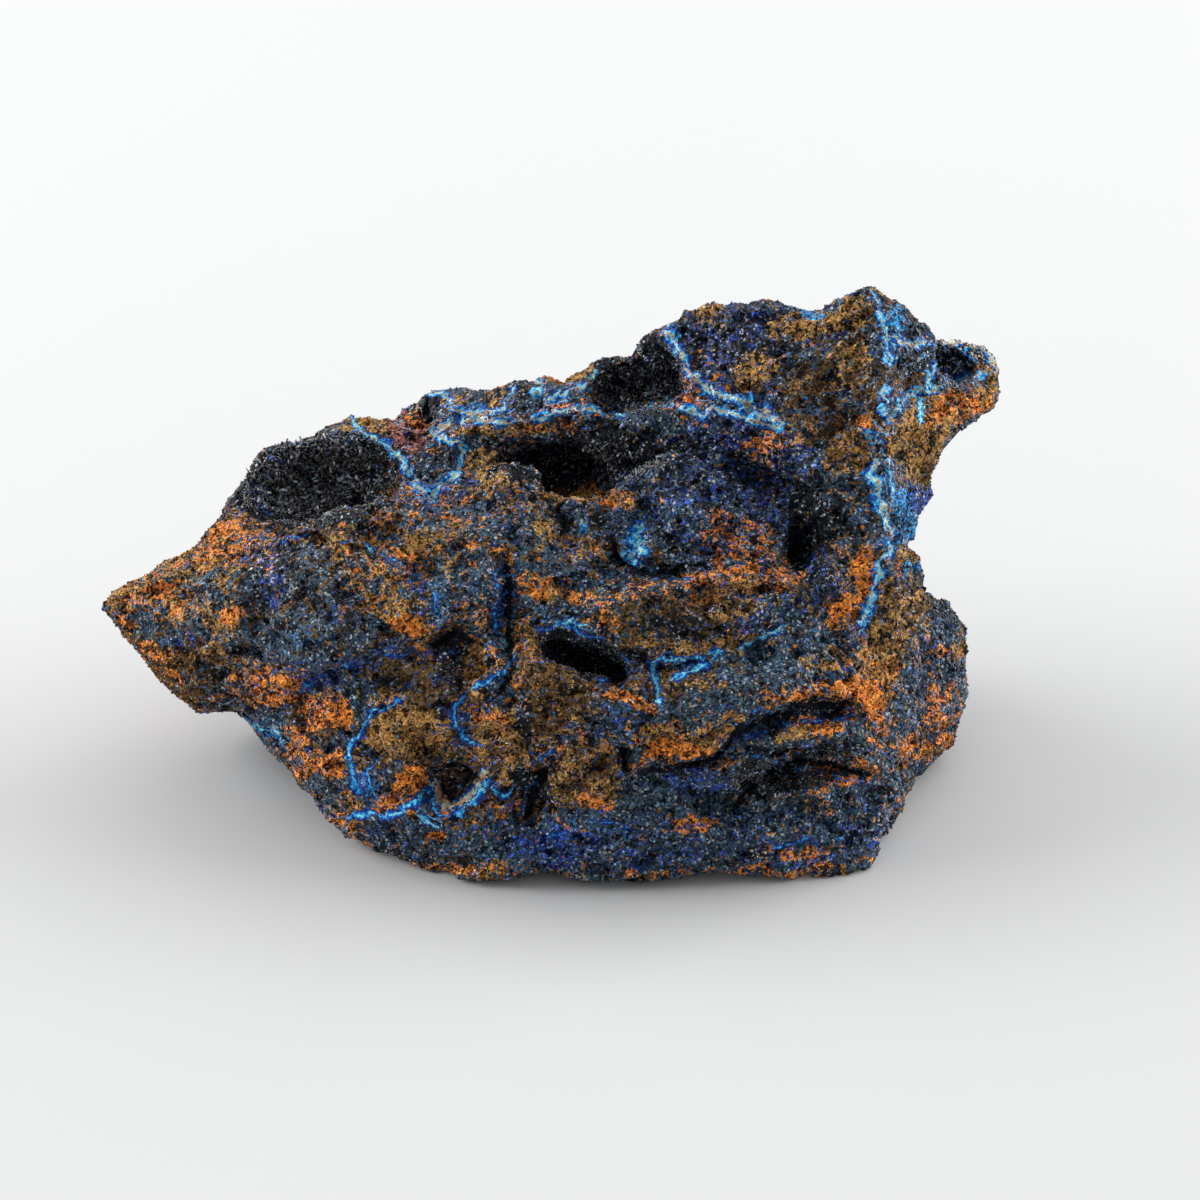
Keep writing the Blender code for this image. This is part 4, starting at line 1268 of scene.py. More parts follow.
def joined_mesh(name: str, corners: Array, triangles: Array) -> bpy.types.Mesh:
    """A mesh of many small solids.

    Args:
        name: the mesh's name.
        corners: an array of positions.
        triangles: an array of three corner numbers to a face.

    Returns:
        The mesh.
    """
    mesh = bpy.data.meshes.new(name)
    mesh.vertices.add(len(corners))
    mesh.vertices.foreach_set("co", corners.astype(np.float32).ravel())
    mesh.loops.add(3 * len(triangles))
    mesh.loops.foreach_set("vertex_index", triangles.astype(np.int32).ravel())
    mesh.polygons.add(len(triangles))
    mesh.polygons.foreach_set("loop_start", np.arange(0, 3 * len(triangles), 3, dtype=np.int32))
    mesh.update(calc_edges=True)
    return mesh


@dataclass
class Soil:
    """Places on the rock's surface where something can grow."""

    spots: Array
    outwards: Array

    @classmethod
    def on(cls, rock: Object, count: int, random: np.random.Generator) -> Soil:
        """Spreads places evenly over the rock.

        Args:
            rock: the rock's object.
            count: how many places.
            random: where the random numbers come from.

        Returns:
            The places.
        """
        mesh = rock.data
        mesh.calc_loop_triangles()
        corners = np.empty(3 * len(mesh.loop_triangles), np.int32)
        mesh.loop_triangles.foreach_get("vertices", corners)
        points, normals = surface_arrays(mesh)
        corners = corners.reshape(-1, 3)
        one, two, three = (points[corners[:, index]] for index in range(3))
        area = np.linalg.norm(np.cross(two - one, three - one), axis=1)
        chosen = random.choice(len(corners), size=count, p=area / area.sum())
        share = random.random((count, 2))
        share = np.where((share.sum(axis=1) > 1)[:, None], 1 - share, share)
        along, across = share[:, :1], share[:, 1:]
        spots = one[chosen] * (1 - along - across) + two[chosen] * along + three[chosen] * across
        outwards = normals[corners[chosen]].mean(axis=1)
        return cls(spots, outwards / np.linalg.norm(outwards, axis=1)[:, None])

    def only(self, chosen: Array) -> Soil:
        """Some of the places."""
        return Soil(self.spots[chosen], self.outwards[chosen])

    def spaced(self, spacing: float) -> Soil:
        """One place in each cell of a grid.

        Args:
            spacing: the size of a cell, in metres.

        Returns:
            The places that stay.
        """
        cells = np.floor(self.spots / spacing).astype(np.int64)
        _, first = np.unique(cells, axis=0, return_index=True)
        return self.only(np.sort(first))


@dataclass
class HollowLining:
    """The crystals that line one hollow, in place of its packed crust.

    oval bounds the hollow on the display sheet, and the crystals shrink across its rim. blue is the
    share of blue crystals. Painted light brightens the crystals from the mouth of the hollow to its far
    end, where little real light reaches. contrast spreads their brightness widely at random, which gives
    each a tone of its own and paints glints on the brightest.
    """

    sheet: DisplaySheet
    node: str
    spacing: float
    size: tuple[float, float]
    habits: tuple[Habit, ...] = (Habit.TABLET, Habit.BLADE, Habit.BLADE)
    oval: Patch | None = None
    rim: tuple[float, float] = (0.55, 0.95)
    rim_shrink: float = 0.55
    small_bias: float = 1.6
    dark: Colour = (0.0130, 0.0145, 0.0170)
    painted_light_at_mouth: float = 0.7
    painted_light_added: float = 3.0
    painted_light_bias: float = 1.5
    contrast: float = 1.45
    brightest: float = 0.75
    roughness: tuple[float, float] = (0.08, 0.26)
    reach: float = 1.15 * MM
    blue: float = 0.03
    sunk: float = 0.22
    lean: float = 1.1
    seed: int = 0
    piece: Object | None = None

    def _near_crust(self, soil: Soil) -> Array:
        """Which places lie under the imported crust.

        Args:
            soil: places all over the rock.

        Returns:
            An array that is true for those places.
        """
        bm = bmesh.new()
        bm.from_mesh(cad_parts[self.node].data)
        tree = BVHTree.FromBMesh(bm)
        low = np.array([vert.co for vert in bm.verts]).min(axis=0) - self.reach
        high = np.array([vert.co for vert in bm.verts]).max(axis=0) + self.reach
        bm.free()
        near = ((soil.spots > low) & (soil.spots < high)).all(axis=1)
        if self.oval:
            near &= self.oval.cover(self.sheet.places(soil.spots)) > 0.5
        for index in np.flatnonzero(near):
            near[index] = tree.find_nearest(Vector(soil.spots[index]), self.reach)[0] is not None
        return near

    def build(self, soil: Soil) -> Object:
        """Grows the crystals.

        Args:
            soil: places all over the rock.

        Returns:
            The lining's object.
        """
        random = np.random.default_rng(self.seed)
        bed = soil.only(self._near_crust(soil)).spaced(self.spacing)
        count = len(bed.spots)
        low, high = self.size
        sizes = low + (high - low) * random.random(count) ** self.small_bias
        if self.oval:
            offset = self.oval.offset(self.sheet.places(bed.spots))
            sizes *= 1 - self.rim_shrink * smooth_step(*self.rim, offset)
        # Painted light: the crystals are made brighter the farther they lie from the eye, deep in the hollow.
        away = bed.spots @ np.array(self.sheet.forward)
        depth = (away - away.min()) / np.ptp(away)
        painted_light = (self.painted_light_at_mouth + self.painted_light_added * depth**self.painted_light_bias)[:, None]
        bright = painted_light * np.exp(self.contrast * random.normal(size=(count, 1)))
        tints = np.where(random.random((count, 1)) < self.blue, TINTS[ULTRAMARINE].colour, self.dark)
        colours = np.clip(tints * bright, 0, self.brightest)
        looks = {"tint": np.column_stack([colours, random.uniform(*self.roughness, count)])}
        growth = Growth(self.node.replace("crust", "lining"), self.habits, random)
        self.piece = growth.join(bed, sizes, looks, self.sunk, self.lean)
        return self.piece


@dataclass
class Grit:
    """The crumbs of gossan and the fine azurite crystals that cover the whole rock.

    crumbs and crystals are how many lie on the display side and on the hidden sides.
    """

    sheet: DisplaySheet
    minerals: MineralMap
    crumbs: tuple[int, int] = (66_000, 26_000)
    crystals: tuple[int, int] = (16_000, 6_000)
    places_per_crumb: int = 7
    shown: float = 0.15
    lowest: float = 0.5 * MM
    crumb_size: float = 0.30 * MM
    crystal_size: float = 0.26 * MM
    size_spread: float = 0.45
    size_limits: tuple[float, float] = (0.5, 2.6)
    sunk: float = 0.05
    lean: float = 2.0
    hue_spread: float = 0.12
    brightest: float = 0.8
    roughness: tuple[float, float] = (0.15, 0.45)
    per_piece: int = 24_000
    seed: int = 5
    pieces: list[Object] = field(default_factory=list)

    def _crystal_tints(self, soil: Soil, random: np.random.Generator) -> tuple[Array, Array]:
        """Which places bear azurite, and how the crystals look.

        Args:
            soil: places on the rock.
            random: where the random numbers come from.

        Returns:
            An array that is true for the places that bear a crystal, and the colour and roughness of
            each crystal.
        """
        shares = self.minerals.shares(soil.spots, soil.outwards)[:, [mineral.value for mineral in ORES]]
        chance = random.random((len(shares), 1))
        kinds = (chance > np.cumsum(shares, axis=1)).sum(axis=1)
        bears = kinds < len(ORES)
        kinds = kinds[bears]
        colours = np.array([TINTS[mineral].colour for mineral in ORES])[kinds]
        spread = np.array(list(ORES.values()))[kinds]
        bright = np.exp(spread * random.normal(size=len(kinds)))[:, None]
        mixed = colours * bright * np.exp(self.hue_spread * random.normal(size=colours.shape))
        rough = random.uniform(*self.roughness, len(kinds))
        return bears, np.column_stack([np.clip(mixed, 0, self.brightest), rough])

    def _scatter(self, name: str, bed: Soil, usual: float, looks: dict, random: np.random.Generator) -> None:
        """Makes the pieces for some grains.

        Args:
            name: the start of the pieces' names.
            bed: where the grains lie.
            usual: how far a grain usually reaches across, in metres.
            looks: the attributes of the finish, with a row for each grain.
            random: where the random numbers come from.
        """
        for part, start in enumerate(range(0, len(bed.spots), self.per_piece)):
            some = slice(start, start + self.per_piece)
            grains = bed.only(some)
            sizes = np.exp(self.size_spread * random.normal(size=len(grains.spots)))
            sizes = usual * np.clip(sizes, *self.size_limits)
            looked = {attribute: values[some] for attribute, values in looks.items()}
            growth = Growth(f"{name}_{part + 1}", (Habit.GRAIN,), random)
            self.pieces.append(growth.join(grains, sizes, looked, self.sunk, self.lean))

    def build(self, rock: Object) -> list[Object]:
        """Scatters the grains.

        Args:
            rock: the rock's object.

        Returns:
            The grit's pieces.
        """
        random = np.random.default_rng(self.seed)
        soil = Soil.on(rock, self.places_per_crumb * sum(self.crumbs), random)
        soil = soil.only(soil.spots[:, 2] > self.lowest)
        shown = self.sheet.facing(soil.spots, soil.outwards) > self.shown
        sides = zip(("display", "hidden"), (shown, ~shown), self.crumbs, self.crystals)
        for side, chosen, crumbs, crystals in sides:
            spots = np.flatnonzero(chosen)
            bed = soil.only(spots[:crumbs])
            looks = self.minerals.layers(bed.spots, bed.outwards)
            self._scatter(f"gossan_grit_{side}", bed, self.crumb_size, looks, random)
            bed = soil.only(spots[crumbs:][: 2 * crystals])
            bears, tints = self._crystal_tints(bed, random)
            bed = bed.only(np.flatnonzero(bears)[:crystals])
            self._scatter(f"azurite_grit_{side}", bed, self.crystal_size, {"tint": tints[:crystals]}, random)
        return self.pieces


@dataclass
class Wiring:
    """The nodes of one material or group."""

    tree: Tree

    def add(self, kind: str, sockets: dict | None = None, **settings: object) -> bpy.types.Node:
        """Adds a node.

        Args:
            kind: the node's type, without its ShaderNode in front.
            sockets: for each input, by name or number, a value or the output that feeds it.
            **settings: the node's own settings.

        Returns:
            The node.
        """
        node = self.tree.nodes.new(kind if kind.startswith("NodeGroup") else f"ShaderNode{kind}")
        for name, value in settings.items():
            setattr(node, name, value)
        self.feed(node, sockets or {})
        return node

    def feed(self, node: bpy.types.Node, sockets: dict) -> None:
        """Sets a node's inputs.

        Args:
            node: the node.
            sockets: for each input, by name or number, a value or the output that feeds it.
        """
        for name, value in sockets.items():
            socket = node.inputs[name]
            if isinstance(value, Socket):
                self.tree.links.new(value, socket)
            elif isinstance(value, tuple) and len(value) == 3 and len(socket.default_value) == 4:
                socket.default_value = (*value, 1)
            else:
                socket.default_value = value

    def group(self, tree: Tree, sockets: dict) -> list[Socket]:
        """Adds a group and gives its outputs."""
        return list(self.add("Group", sockets, node_tree=tree).outputs)

    def math(self, operation: str, *values: object, clamp: bool = False) -> Socket:
        """Works out a number from others."""
        return self.add("Math", dict(enumerate(values)), operation=operation, use_clamp=clamp).outputs[0]

    def mix(self, share: object, under: object, over: object) -> Socket:
        """Lays one colour over another."""
        return self.add("Mix", {0: share, 6: under, 7: over}, data_type="RGBA").outputs[2]

    def ramp(self, value: object, low: object, high: object) -> Socket:
        """A rise from 0 at low to 1 at high."""
        sockets = {"Value": value, "From Min": low, "From Max": high}
        return self.add("MapRange", sockets).outputs[0]

    def noise(self, place: object, size: float, detail: float, seed: float) -> Socket:
        """Noise that averages 0.5.

        Args:
            place: the output that gives the coordinates.
            size: the size of its widest features, in mm.
            detail: how many finer layers it has.
            seed: how far it is moved away from other noises, in metres.

        Returns:
            The output that gives its value.
        """
        moved = self.add("VectorMath", {0: place, 1: (seed, 2 * seed, -seed)}, operation="ADD").outputs[0]
        sockets = {"Vector": moved, "Scale": 1 / (size * MM), "Detail": detail, "Roughness": 0.6}
        return self.add("TexNoise", sockets).outputs[0]

    def swing(self, place: object, size: float, detail: float, seed: float) -> Socket:
        """The same noise about 0."""
        return self.math("SUBTRACT", self.noise(place, size, detail, seed), 0.5)

    def colours(self, value: object, stops: dict[float, Colour]) -> Socket:
        """A colour that changes with a value.

        Args:
            value: the output that gives the value.
            stops: the colour for each of several values, among them 0 and 1.

        Returns:
            The output that gives the colour.
        """
        node = self.add("ValToRGB", {0: value})
        elements = node.color_ramp.elements
        for position, colour in stops.items():
            stop = elements[-int(position)] if position in (0, 1) else elements.new(position)
            stop.color = (*colour, 1)
        return node.outputs[0]


@dataclass(frozen=True)
class SharedGroups:
    """The node groups that several finishes use."""

    picker: Tree
    layer: Tree
    mottle: Tree
    grain: Tree

    @classmethod
    def make(cls) -> SharedGroups:
        """Builds the groups."""
        return cls(cls._picker(), cls._layer(), cls._mottle(), cls._grain())

    @staticmethod
    def _group(name: str, inputs: dict[str, str], outputs: dict[str, str]) -> tuple[Wiring, dict, object]:
        """An empty group with named sockets.

        Args:
            name: the group's name.
            inputs: the type of each input.
            outputs: the type of each output.

        Returns:
            The group's wiring, what its inputs give, and its output node.
        """
        tree = bpy.data.node_groups.new(name, "ShaderNodeTree")
        for direction, sockets in (("INPUT", inputs), ("OUTPUT", outputs)):
            for socket, kind in sockets.items():
                tree.interface.new_socket(socket, in_out=direction, socket_type=f"NodeSocket{kind}")
        wiring = Wiring(tree)
        given = {socket.name: socket for socket in wiring.add("NodeGroupInput").outputs if socket.name}
        return wiring, given, wiring.add("NodeGroupOutput")

    @classmethod
    def _picker(cls) -> Tree:
        """Gives each grain three random numbers from 0 to 1, and sways the edges of the grains.

        Returns:
            The group.
        """
        inputs = {"Place": "Vector", "Scale": "Float"}
        wiring, given, output = cls._group("grain picker", inputs, dict.fromkeys(("A", "B", "C"), "Float"))
        sway = wiring.add("TexNoise", {"Vector": given["Place"], "Scale": given["Scale"], "Detail": 2.0})
        reach = wiring.math("DIVIDE", 0.9, given["Scale"])
        swayed = wiring.add("VectorMath", {0: sway.outputs[1], 3: reach}, operation="SCALE").outputs[0]
        place = wiring.add("VectorMath", {0: given["Place"], 1: swayed}, operation="ADD").outputs[0]
        cells = wiring.add("TexVoronoi", {"Vector": place, "Scale": given["Scale"]}).outputs["Color"]
        wiring.feed(output, dict(enumerate(wiring.add("SeparateColor", {0: cells}).outputs)))
        return wiring.tree

    @classmethod
    def _layer(cls) -> Tree:
        """Lays one mineral over what is there, clump by clump.

        Returns:
            The group.
        """
        inputs = {
            "Under": "Color", "Under Roughness": "Float", "Mineral": "Color", "Mineral Roughness": "Float",
            "Cover": "Float", "Pick": "Float", "Edge": "Float",
        }
        wiring, given, output = cls._group("mineral layer", inputs, {"Color": "Color", "Roughness": "Float"})
        short = wiring.math("SUBTRACT", given["Cover"], given["Pick"])
        laid = wiring.math("DIVIDE", short, given["Edge"], clamp=True)
        colour = wiring.mix(laid, given["Under"], given["Mineral"])
        sockets = {0: laid, 2: given["Under Roughness"], 3: given["Mineral Roughness"]}
        wiring.feed(output, {"Color": colour, "Roughness": wiring.add("Mix", sockets).outputs[0]})
        return wiring.tree

    @classmethod
    def _mottle(cls) -> Tree:
        """Gives each grain a tint of its own, with painted shade between the grains and in the holes
        and painted glints on a few of them.

        Returns:
            The group.
        """
        inputs = {
            "Place": "Vector", "Color": "Color", "Height": "Float", "Spread": "Float", "Size": "Float",
            "Gap Shade": "Float", "Glints": "Float",
        }
        wiring, given, output = cls._group("mottle", inputs, {"Color": "Color"})
        scale = wiring.math("DIVIDE", 1 / MM, given["Size"])
        cells = wiring.add("TexVoronoi", {"Vector": given["Place"], "Scale": scale}).outputs["Color"]
        one, two, three = wiring.add("SeparateColor", {0: cells}).outputs
        own = wiring.math("SUBTRACT", wiring.math("ADD", wiring.math("ADD", one, two), three), 1.5)
        cloud = wiring.swing(given["Place"], size=1.4, detail=3, seed=0.13)
        swing = wiring.math("ADD", wiring.math("MULTIPLY", own, 1.1), wiring.math("MULTIPLY", cloud, 2.5))
        bright = wiring.math("POWER", 2.718, wiring.math("MULTIPLY", swing, given["Spread"]))
        # Painted shade: the grain darkens where its height sinks between grains and into holes.
        painted_gap_shade = wiring.math("MULTIPLY", wiring.ramp(given["Height"], low=0.17, high=0.08), given["Gap Shade"])
        bright = wiring.math("MULTIPLY", bright, wiring.math("SUBTRACT", 1.0, painted_gap_shade))
        hue_sockets = {0: cells, 1: (0.36,) * 3, 2: (0.82,) * 3}
        hues = wiring.add("VectorMath", hue_sockets, operation="MULTIPLY_ADD").outputs[0]
        tinted = wiring.add("VectorMath", {0: given["Color"], 1: hues}, operation="MULTIPLY").outputs[0]
        colour = wiring.add("VectorMath", {0: tinted, 3: bright}, operation="SCALE").outputs[0]
        # Painted glints: a few grains are painted pale, as if they caught the light.
        painted_glint_share = wiring.math("MULTIPLY", wiring.ramp(one, low=0.935, high=0.95), given["Glints"])
        wiring.feed(output, {"Color": wiring.mix(painted_glint_share, colour, PAINTED_GLINT_COLOUR)})
        return wiring.tree

    @classmethod
    def _grain(cls) -> Tree:
        """The height of fine grain, about 0.5 on the grains and below 0.1 between them and in the holes.

        Returns:
            The group.
        """
        inputs = {"Place": "Vector", "Size": "Float", "Holes": "Float"}
        wiring, given, output = cls._group("grain", inputs, {"Height": "Float"})
        scale = wiring.math("DIVIDE", 1 / MM, given["Size"])
        cells = wiring.add("TexVoronoi", {"Vector": given["Place"], "Scale": scale}).outputs["Distance"]
        fuzz = wiring.add("TexNoise", {"Vector": given["Place"], "Scale": scale, "Detail": 3.0}).outputs[0]
        height = wiring.math("SUBTRACT", fuzz, wiring.math("MULTIPLY", cells, 0.5))
        fine = wiring.ramp(wiring.noise(given["Place"], size=0.9, detail=3, seed=0.37), low=0.42, high=0.37)
        wide = wiring.ramp(wiring.noise(given["Place"], size=3.0, detail=5, seed=0.61), low=0.385, high=0.36)
        hole = wiring.math("MULTIPLY", wiring.math("MAXIMUM", fine, wide), given["Holes"])
        wiring.feed(output, {"Height": wiring.math("SUBTRACT", height, hole)})
        return wiring.tree


def new_material(name: str) -> tuple[bpy.types.Material, Wiring, Socket]:
    """An empty material.

    Args:
        name: the material's name.

    Returns:
        The material, its wiring, and its Object coordinates.
    """
    material = bpy.data.materials.new(name)
    material.use_nodes = True
    material.node_tree.nodes.clear()
    wiring = Wiring(material.node_tree)
    return material, wiring, wiring.add("TexCoord").outputs["Object"]


def surface(wiring: Wiring, sockets: dict) -> None:
    """Ends a material's wiring in a Principled shader with these inputs."""
    shader = wiring.add("BsdfPrincipled", sockets)
    wiring.add("OutputMaterial", {"Surface": shader.outputs[0]})


@dataclass(frozen=True)
class Grain:
    """The fine grain of a finish.

    size is how wide its bumps are and mottle how wide its specks of colour, in mm. holes is how deep its
    holes are, and gaps how dark the painted shade between the grains and in the holes is, from 0 to 1.
    bump is how strongly it shows, and depth is how deep it is, in metres.
    """

    size: float
    mottle: float
    holes: float
    gap_shade: float
    bump: float
    depth: float

    def cover(self, groups: SharedGroups, wiring: Wiring, place: Socket, looks: dict) -> list[Socket]:
        """Covers a finish with grain.

        Args:
            groups: the shared node groups.
            wiring: the material's nodes.
            place: the Object coordinates.
            looks: the finish's own values for the mottle: Color, Spread and Glints.

        Returns:
            The outputs that give the colour and the normal.
        """
        (height,) = wiring.group(groups.grain, {"Place": place, "Size": self.size, "Holes": self.holes})
        sockets = {"Place": place, "Height": height, "Size": self.mottle, "Gap Shade": self.gap_shade, **looks}
        (colour,) = wiring.group(groups.mottle, sockets)
        bump = {"Strength": self.bump, "Distance": self.depth, "Height": height}
        return [colour, wiring.add("Bump", bump).outputs[0]]


@dataclass(frozen=True)
class StoneFinish:
    """The rock: minerals laid grain over grain, with copper veins between them.

    pick_sizes are in mm. island is how wide a mineral's clumps are, as a share of their size on the map,
    and speckle is how much single grains count against clumps.
    """

    groups: SharedGroups
    pick_sizes: tuple[float, float, float] = (0.34, 1.7 * 0.34, 0.75 * 0.34)
    grain: Grain = Grain(size=0.36, mottle=0.32, holes=0.6, gap_shade=0.93, bump=0.9, depth=0.2 * MM)
    island: float = 0.55
    speckle: float = 0.24
    edge: float = 0.06
    shine: float = 0.2
    vein_sway: float = 1.5

    def _layers(self, wiring: Wiring, place: Socket) -> tuple:
        """Lays the minerals, from umber up to cream.

        Args:
            wiring: the material's nodes.
            place: the Object coordinates.

        Returns:
            The outputs that give colour and roughness.
        """
        covers, picks = [], []
        for name in ("earths", "ores"):
            attribute = wiring.add("Attribute", attribute_name=name)
            covers += list(wiring.add("SeparateColor", {0: attribute.outputs["Color"]}).outputs)
            covers.append(attribute.outputs["Alpha"])
        for size in self.pick_sizes:
            picks += wiring.group(self.groups.picker, {"Place": place, "Scale": 1 / (size * MM)})
        colour, rough = TINTS[UMBER].colour, TINTS[UMBER].roughness
        for mineral, cover, grain in zip(list(Mineral)[1:], covers, picks):
            tint = TINTS[mineral]
            clump = wiring.noise(place, self.island * tint.clump, detail=3, seed=0.3 * mineral.value)
            clump = wiring.ramp(clump, low=0.33, high=0.67)
            mixed = wiring.add("Mix", {0: self.speckle, 2: clump, 3: grain}).outputs[0]
            sockets = {
                "Under": colour, "Under Roughness": rough, "Mineral": tint.colour,
                "Mineral Roughness": tint.roughness, "Cover": cover,
                "Pick": wiring.ramp(mixed, low=0.10, high=0.90), "Edge": self.edge,
            }
            colour, rough = wiring.group(self.groups.layer, sockets)
        return colour, rough

    def _veined(self, wiring: Wiring, place: object, colour: object) -> Socket:
        """Draws the veins over the minerals, and the shadow in the clefts.

        Args:
            wiring: the material's nodes.
            place: the Object coordinates.
            colour: the output that gives the colour of the minerals.

        Returns:
            The output that gives the final colour.
        """
        attribute = wiring.add("Attribute", attribute_name="vein")
        offset, strength, core = wiring.add("SeparateColor", {0: attribute.outputs["Color"]}).outputs
        sway = wiring.swing(place, size=1.3, detail=5, seed=0.31)
        swayed = wiring.math("ADD", offset, wiring.math("MULTIPLY", sway, 4 * self.vein_sway))
        away = wiring.math("ABSOLUTE", swayed)
        width = wiring.ramp(wiring.noise(place, size=2.4, detail=3, seed=0.43), low=0.36, high=0.62)
        reach = wiring.math("ADD", wiring.math("MULTIPLY", width, 1.2), 0.45)
        inside = wiring.math("SUBTRACT", 1.0, wiring.math("DIVIDE", away, reach))
        grainy = wiring.swing(place, size=0.5, detail=3, seed=0.57)
        ragged = wiring.math("ADD", inside, wiring.math("MULTIPLY", grainy, 2.2))
        dashes = wiring.ramp(wiring.noise(place, size=3.2, detail=3, seed=0.71), low=0.45, high=0.54)
        whole = wiring.math("MAXIMUM", dashes, wiring.ramp(core, low=-0.34, high=-0.3))
        strength = wiring.math("MULTIPLY", strength, whole)
        band = wiring.math("MULTIPLY", wiring.ramp(ragged, low=-0.30, high=-0.18), strength)
        dark = wiring.math("MULTIPLY", wiring.math("MINIMUM", core, 0.0), 1.2)
        richness = wiring.ramp(wiring.math("ADD", ragged, dark), low=-0.25, high=0.95)
        colour = wiring.mix(band, colour, wiring.colours(richness, VEIN_COLOURS))
        filled = wiring.math("MAXIMUM", core, 0.001)
        heart = wiring.ramp(away, low=filled, high=wiring.math("MULTIPLY", filled, 0.6))
        warm = wiring.ramp(wiring.noise(place, size=2.2, detail=2, seed=0.83), low=0.42, high=0.56)
        filling = wiring.mix(warm, TINTS[CREAM].colour, WARM_FILLING)
        colour = wiring.mix(wiring.math("MULTIPLY", heart, band), colour, filling)
        torn = wiring.math("MULTIPLY", wiring.swing(place, size=1.0, detail=4, seed=0.93), 2.2)
        cleft = wiring.ramp(wiring.math("ADD", attribute.outputs["Alpha"], torn), low=1.1, high=0.7)
        return wiring.mix(cleft, colour, TINTS[NIGHT].colour)

    def make(self) -> bpy.types.Material:
        """Builds the material.

        Returns:
            The material.
        """
        material, wiring, place = new_material("gossan")
        colour, rough = self._layers(wiring, place)
        spread = wiring.math("SUBTRACT", 1.30, wiring.math("MULTIPLY", rough, 0.95))
        # The glossy ores get more painted glints than the earths.
        looks = {"Color": colour, "Spread": spread, "Glints": wiring.ramp(rough, low=0.90, high=0.35)}
        colour, normal = self.grain.cover(self.groups, wiring, place, looks)
        colour = self._veined(wiring, place, colour)
        sockets = {"Base Color": colour, "Roughness": rough, "Normal": normal}
        surface(wiring, {**sockets, "Specular IOR Level": self.shine})
        return material


@dataclass(frozen=True)
class CrystalFinish:
    """Faceted grains: each has a tint and a gloss of its own."""

    groups: SharedGroups
    name: str
    shine: float
    spread: float
    bump: float

    def make(self) -> bpy.types.Material:
        """Builds the material.

        Returns:
            The material.
        """
        material, wiring, place = new_material(self.name)
        tint = wiring.add("Attribute", attribute_name="tint")
        grain = Grain(size=0.22, mottle=0.2, holes=0.0, gap_shade=0.3, bump=self.bump, depth=0.05 * MM)
        looks = {"Color": tint.outputs["Color"], "Spread": self.spread, "Glints": 0.0}
        colour, normal = grain.cover(self.groups, wiring, place, looks)
        sockets = {"Base Color": colour, "Roughness": tint.outputs["Alpha"], "Normal": normal}
        surface(wiring, {**sockets, "Specular IOR Level": self.shine})
        return material


@dataclass
class RootFibre:
    """A dry root hair that lies across the tower."""

    sheet: DisplaySheet
    name: str = "root_fibre"
    path: tuple[Place, ...] = ((722, 356), (727, 366), (732, 377), (739, 387), (748, 399))
    radius: float = 0.11 * MM
    taper: float = 0.12
    slant: float = math.radians(65)
    clearance: float = 0.35 * MM
    tint: tuple[float, float, float, float] = (0.16, 0.07, 0.035, 0.7)

    def _spots(self, rock: Object) -> list[Vector]:
        """Where the fibre lies, just off the rock.

        Args:
            rock: the rock's object.

        Returns:
            The middles of its rings.
        """
        corners = [vert.co for vert in rock.data.vertices]
        tree = BVHTree.FromPolygons(corners, [face.vertices for face in rock.data.polygons])
        spots = []
        for place in self.path:
            sight = self.sheet.towards(place)
            hit = tree.ray_cast(self.sheet.eye, sight)[0]
            spots.append(hit - sight * self.clearance)
        return spots

    def build(self, rock: Object) -> Object:
        """Lays the fibre.

        Args:
            rock: the rock's object.

        Returns:
            The fibre's object.
        """
        bm = bmesh.new()
        rings = []
        for index, spot in enumerate(self._spots(rock)):
            thin = self.radius * (1 - self.taper * index)
            ring = bmesh.ops.create_circle(bm, segments=6, radius=thin)["verts"]
            bmesh.ops.rotate(bm, cent=Vector(), matrix=Matrix.Rotation(self.slant, 3, "X"), verts=ring)
            bmesh.ops.translate(bm, vec=spot, verts=ring)
            rings.append(bm.edges[:][-6:])
        for one, other in zip(rings, rings[1:]):
            bmesh.ops.bridge_loops(bm, edges=one + other)
        bmesh.ops.holes_fill(bm, edges=bm.edges, sides=8)
        bmesh.ops.recalc_face_normals(bm, faces=bm.faces)
        mesh = bpy.data.meshes.new(self.name)
        bm.to_mesh(mesh)
        bm.free()
        set_attribute(mesh, "tint", np.tile(self.tint, (len(mesh.vertices), 1)))
        return placed(self.name, mesh)


@dataclass(frozen=True)
class Lamp:
    """A square lamp that shines at the middle of the floor."""

    name: str
    spot: Place3
    size: float
    power: float

    def hang(self) -> None:
        """Adds the lamp to the scene."""
        data = bpy.data.lights.new(self.name, "AREA")
        data.size = self.size
        data.energy = self.power
        lamp = placed(self.name, data)
        lamp.location = self.spot
        lamp.rotation_euler = Vector(self.spot).to_track_quat("Z", "Y").to_euler()


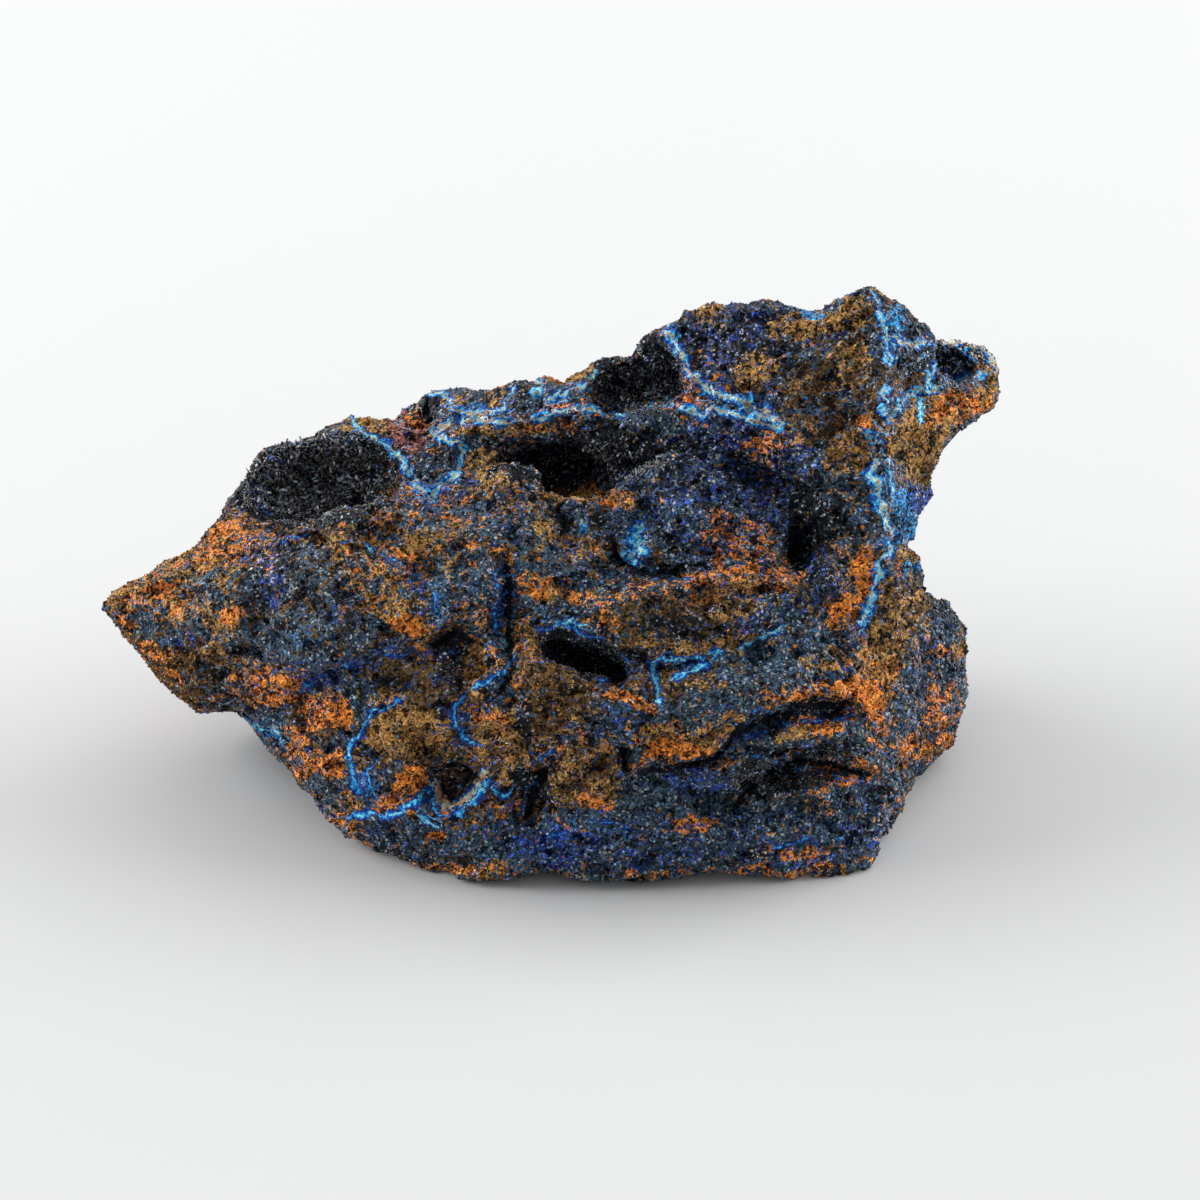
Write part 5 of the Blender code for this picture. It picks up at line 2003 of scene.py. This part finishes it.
@dataclass
class Studio:
    """A pale floor under a pale sky, with soft lamps overhead and at both sides."""

    floor_size: float = 6.0
    floor_tint: Colour = (0.59, 0.593, 0.593)
    sky: float = 0.50
    sky_tint: Colour = (0.97, 0.985, 1.0)
    lamps: tuple[Lamp, ...] = (
        Lamp("overhead", (0.05, 0.70, 0.90), 1.6, 6.0),
        Lamp("left", (-0.9, 0.20, 0.35), 1.0, 15.5),
        Lamp("right", (0.9, 0.25, 0.40), 1.0, 12.5),
    )

    def _floor(self) -> None:
        """Lays the floor."""
        bm = bmesh.new()
        bmesh.ops.create_grid(bm, x_segments=1, y_segments=1, size=self.floor_size / 2)
        mesh = bpy.data.meshes.new("floor")
        bm.to_mesh(mesh)
        bm.free()
        material, wiring, _ = new_material("floor")
        surface(wiring, {"Base Color": self.floor_tint, "Roughness": 0.9, "Specular IOR Level": 0.0})
        mesh.materials.append(material)
        placed("floor", mesh)

    def build(self) -> None:
        """Sets up the floor, the sky and the lamps."""
        self._floor()
        world = bpy.data.worlds.new("sky")
        world.use_nodes = True
        sky = world.node_tree.nodes["Background"]
        sky.inputs["Color"].default_value = (*self.sky_tint, 1)
        sky.inputs["Strength"].default_value = self.sky
        bpy.context.scene.world = world
        for lamp in self.lamps:
            lamp.hang()
        bpy.context.scene.view_settings.view_transform = "Standard"


SHEET = DisplaySheet()
NOISE_SEED = 3
SOIL_SEED = 11
SOIL_PLACES = 600_000
LININGS = (
    HollowLining(
        SHEET, "azurite_crust_left_vug", 0.42 * MM, (0.5 * MM, 1.15 * MM), seed=1,
        oval=Patch(NIGHT, 1, 316, 474, 84, 52, 6),
    ),
    HollowLining(
        SHEET, "azurite_crust_cavern", 0.42 * MM, (0.4 * MM, 0.8 * MM), seed=2,
        oval=Patch(NIGHT, 1, 634, 462, 92, 25, 1),
    ),
    HollowLining(
        SHEET, "azurite_crust_upper_hollow", 0.45 * MM, (0.45 * MM, 0.95 * MM), seed=3,
        oval=Patch(NIGHT, 1, 636, 374, 50, 44, 20),
    ),
    HollowLining(
        SHEET, "azurite_crust_slot", 0.42 * MM, (0.35 * MM, 0.65 * MM), seed=4,
        oval=Patch(NIGHT, 1, 588, 656, 50, 20, -19),
    ),
    HollowLining(SHEET, "azurite_crust_horn_pocket", 0.40 * MM, (0.35 * MM, 0.6 * MM), blue=0.25, seed=5),
    HollowLining(SHEET, "azurite_crust_ledge_slot", 0.45 * MM, (0.35 * MM, 0.65 * MM), seed=6),
)


def finish_piece(piece: Object, material: bpy.types.Material) -> None:
    """Gives a piece its material and its body, and reports it.

    Args:
        piece: the object.
        material: its finish.
    """
    piece.data.materials.clear()
    piece.data.materials.append(material)
    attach(piece, "root")
    LOG.info("%s: %d faces", piece.name, len(piece.data.polygons))


def main() -> None:
    """Builds the specimen and its studio."""
    logging.basicConfig(level=logging.INFO, format="%(name)s %(message)s")
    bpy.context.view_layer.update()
    noise = StoneNoise(NOISE_SEED)
    minerals = MineralMap(SHEET, noise, Relief(noise))
    groups = SharedGroups.make()
    stone = StoneFinish(groups).make()
    glossy = CrystalFinish(groups, "azurite crystals", shine=1.0, spread=0.3, bump=0.1).make()
    earthy = CrystalFinish(groups, "earthy grit", shine=0.12, spread=0.35, bump=0.4).make()
    sparkling = CrystalFinish(groups, "azurite grit", shine=0.5, spread=0.35, bump=0.3).make()
    rock = Rock(SHEET, minerals, noise).build()
    finish_piece(rock, stone)
    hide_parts("gossan_matrix")
    soil = Soil.on(rock, SOIL_PLACES, np.random.default_rng(SOIL_SEED))
    for lining in LININGS:
        finish_piece(lining.build(soil), glossy)
        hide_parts(lining.node)
    for piece in Grit(SHEET, minerals).build(rock):
        ore = piece.name.startswith("azurite")
        finish_piece(piece, sparkling if ore else stone)
    finish_piece(RootFibre(SHEET).build(rock), earthy)
    Studio().build()
    SHEET.camera()


if __name__ == "__main__":
    main()
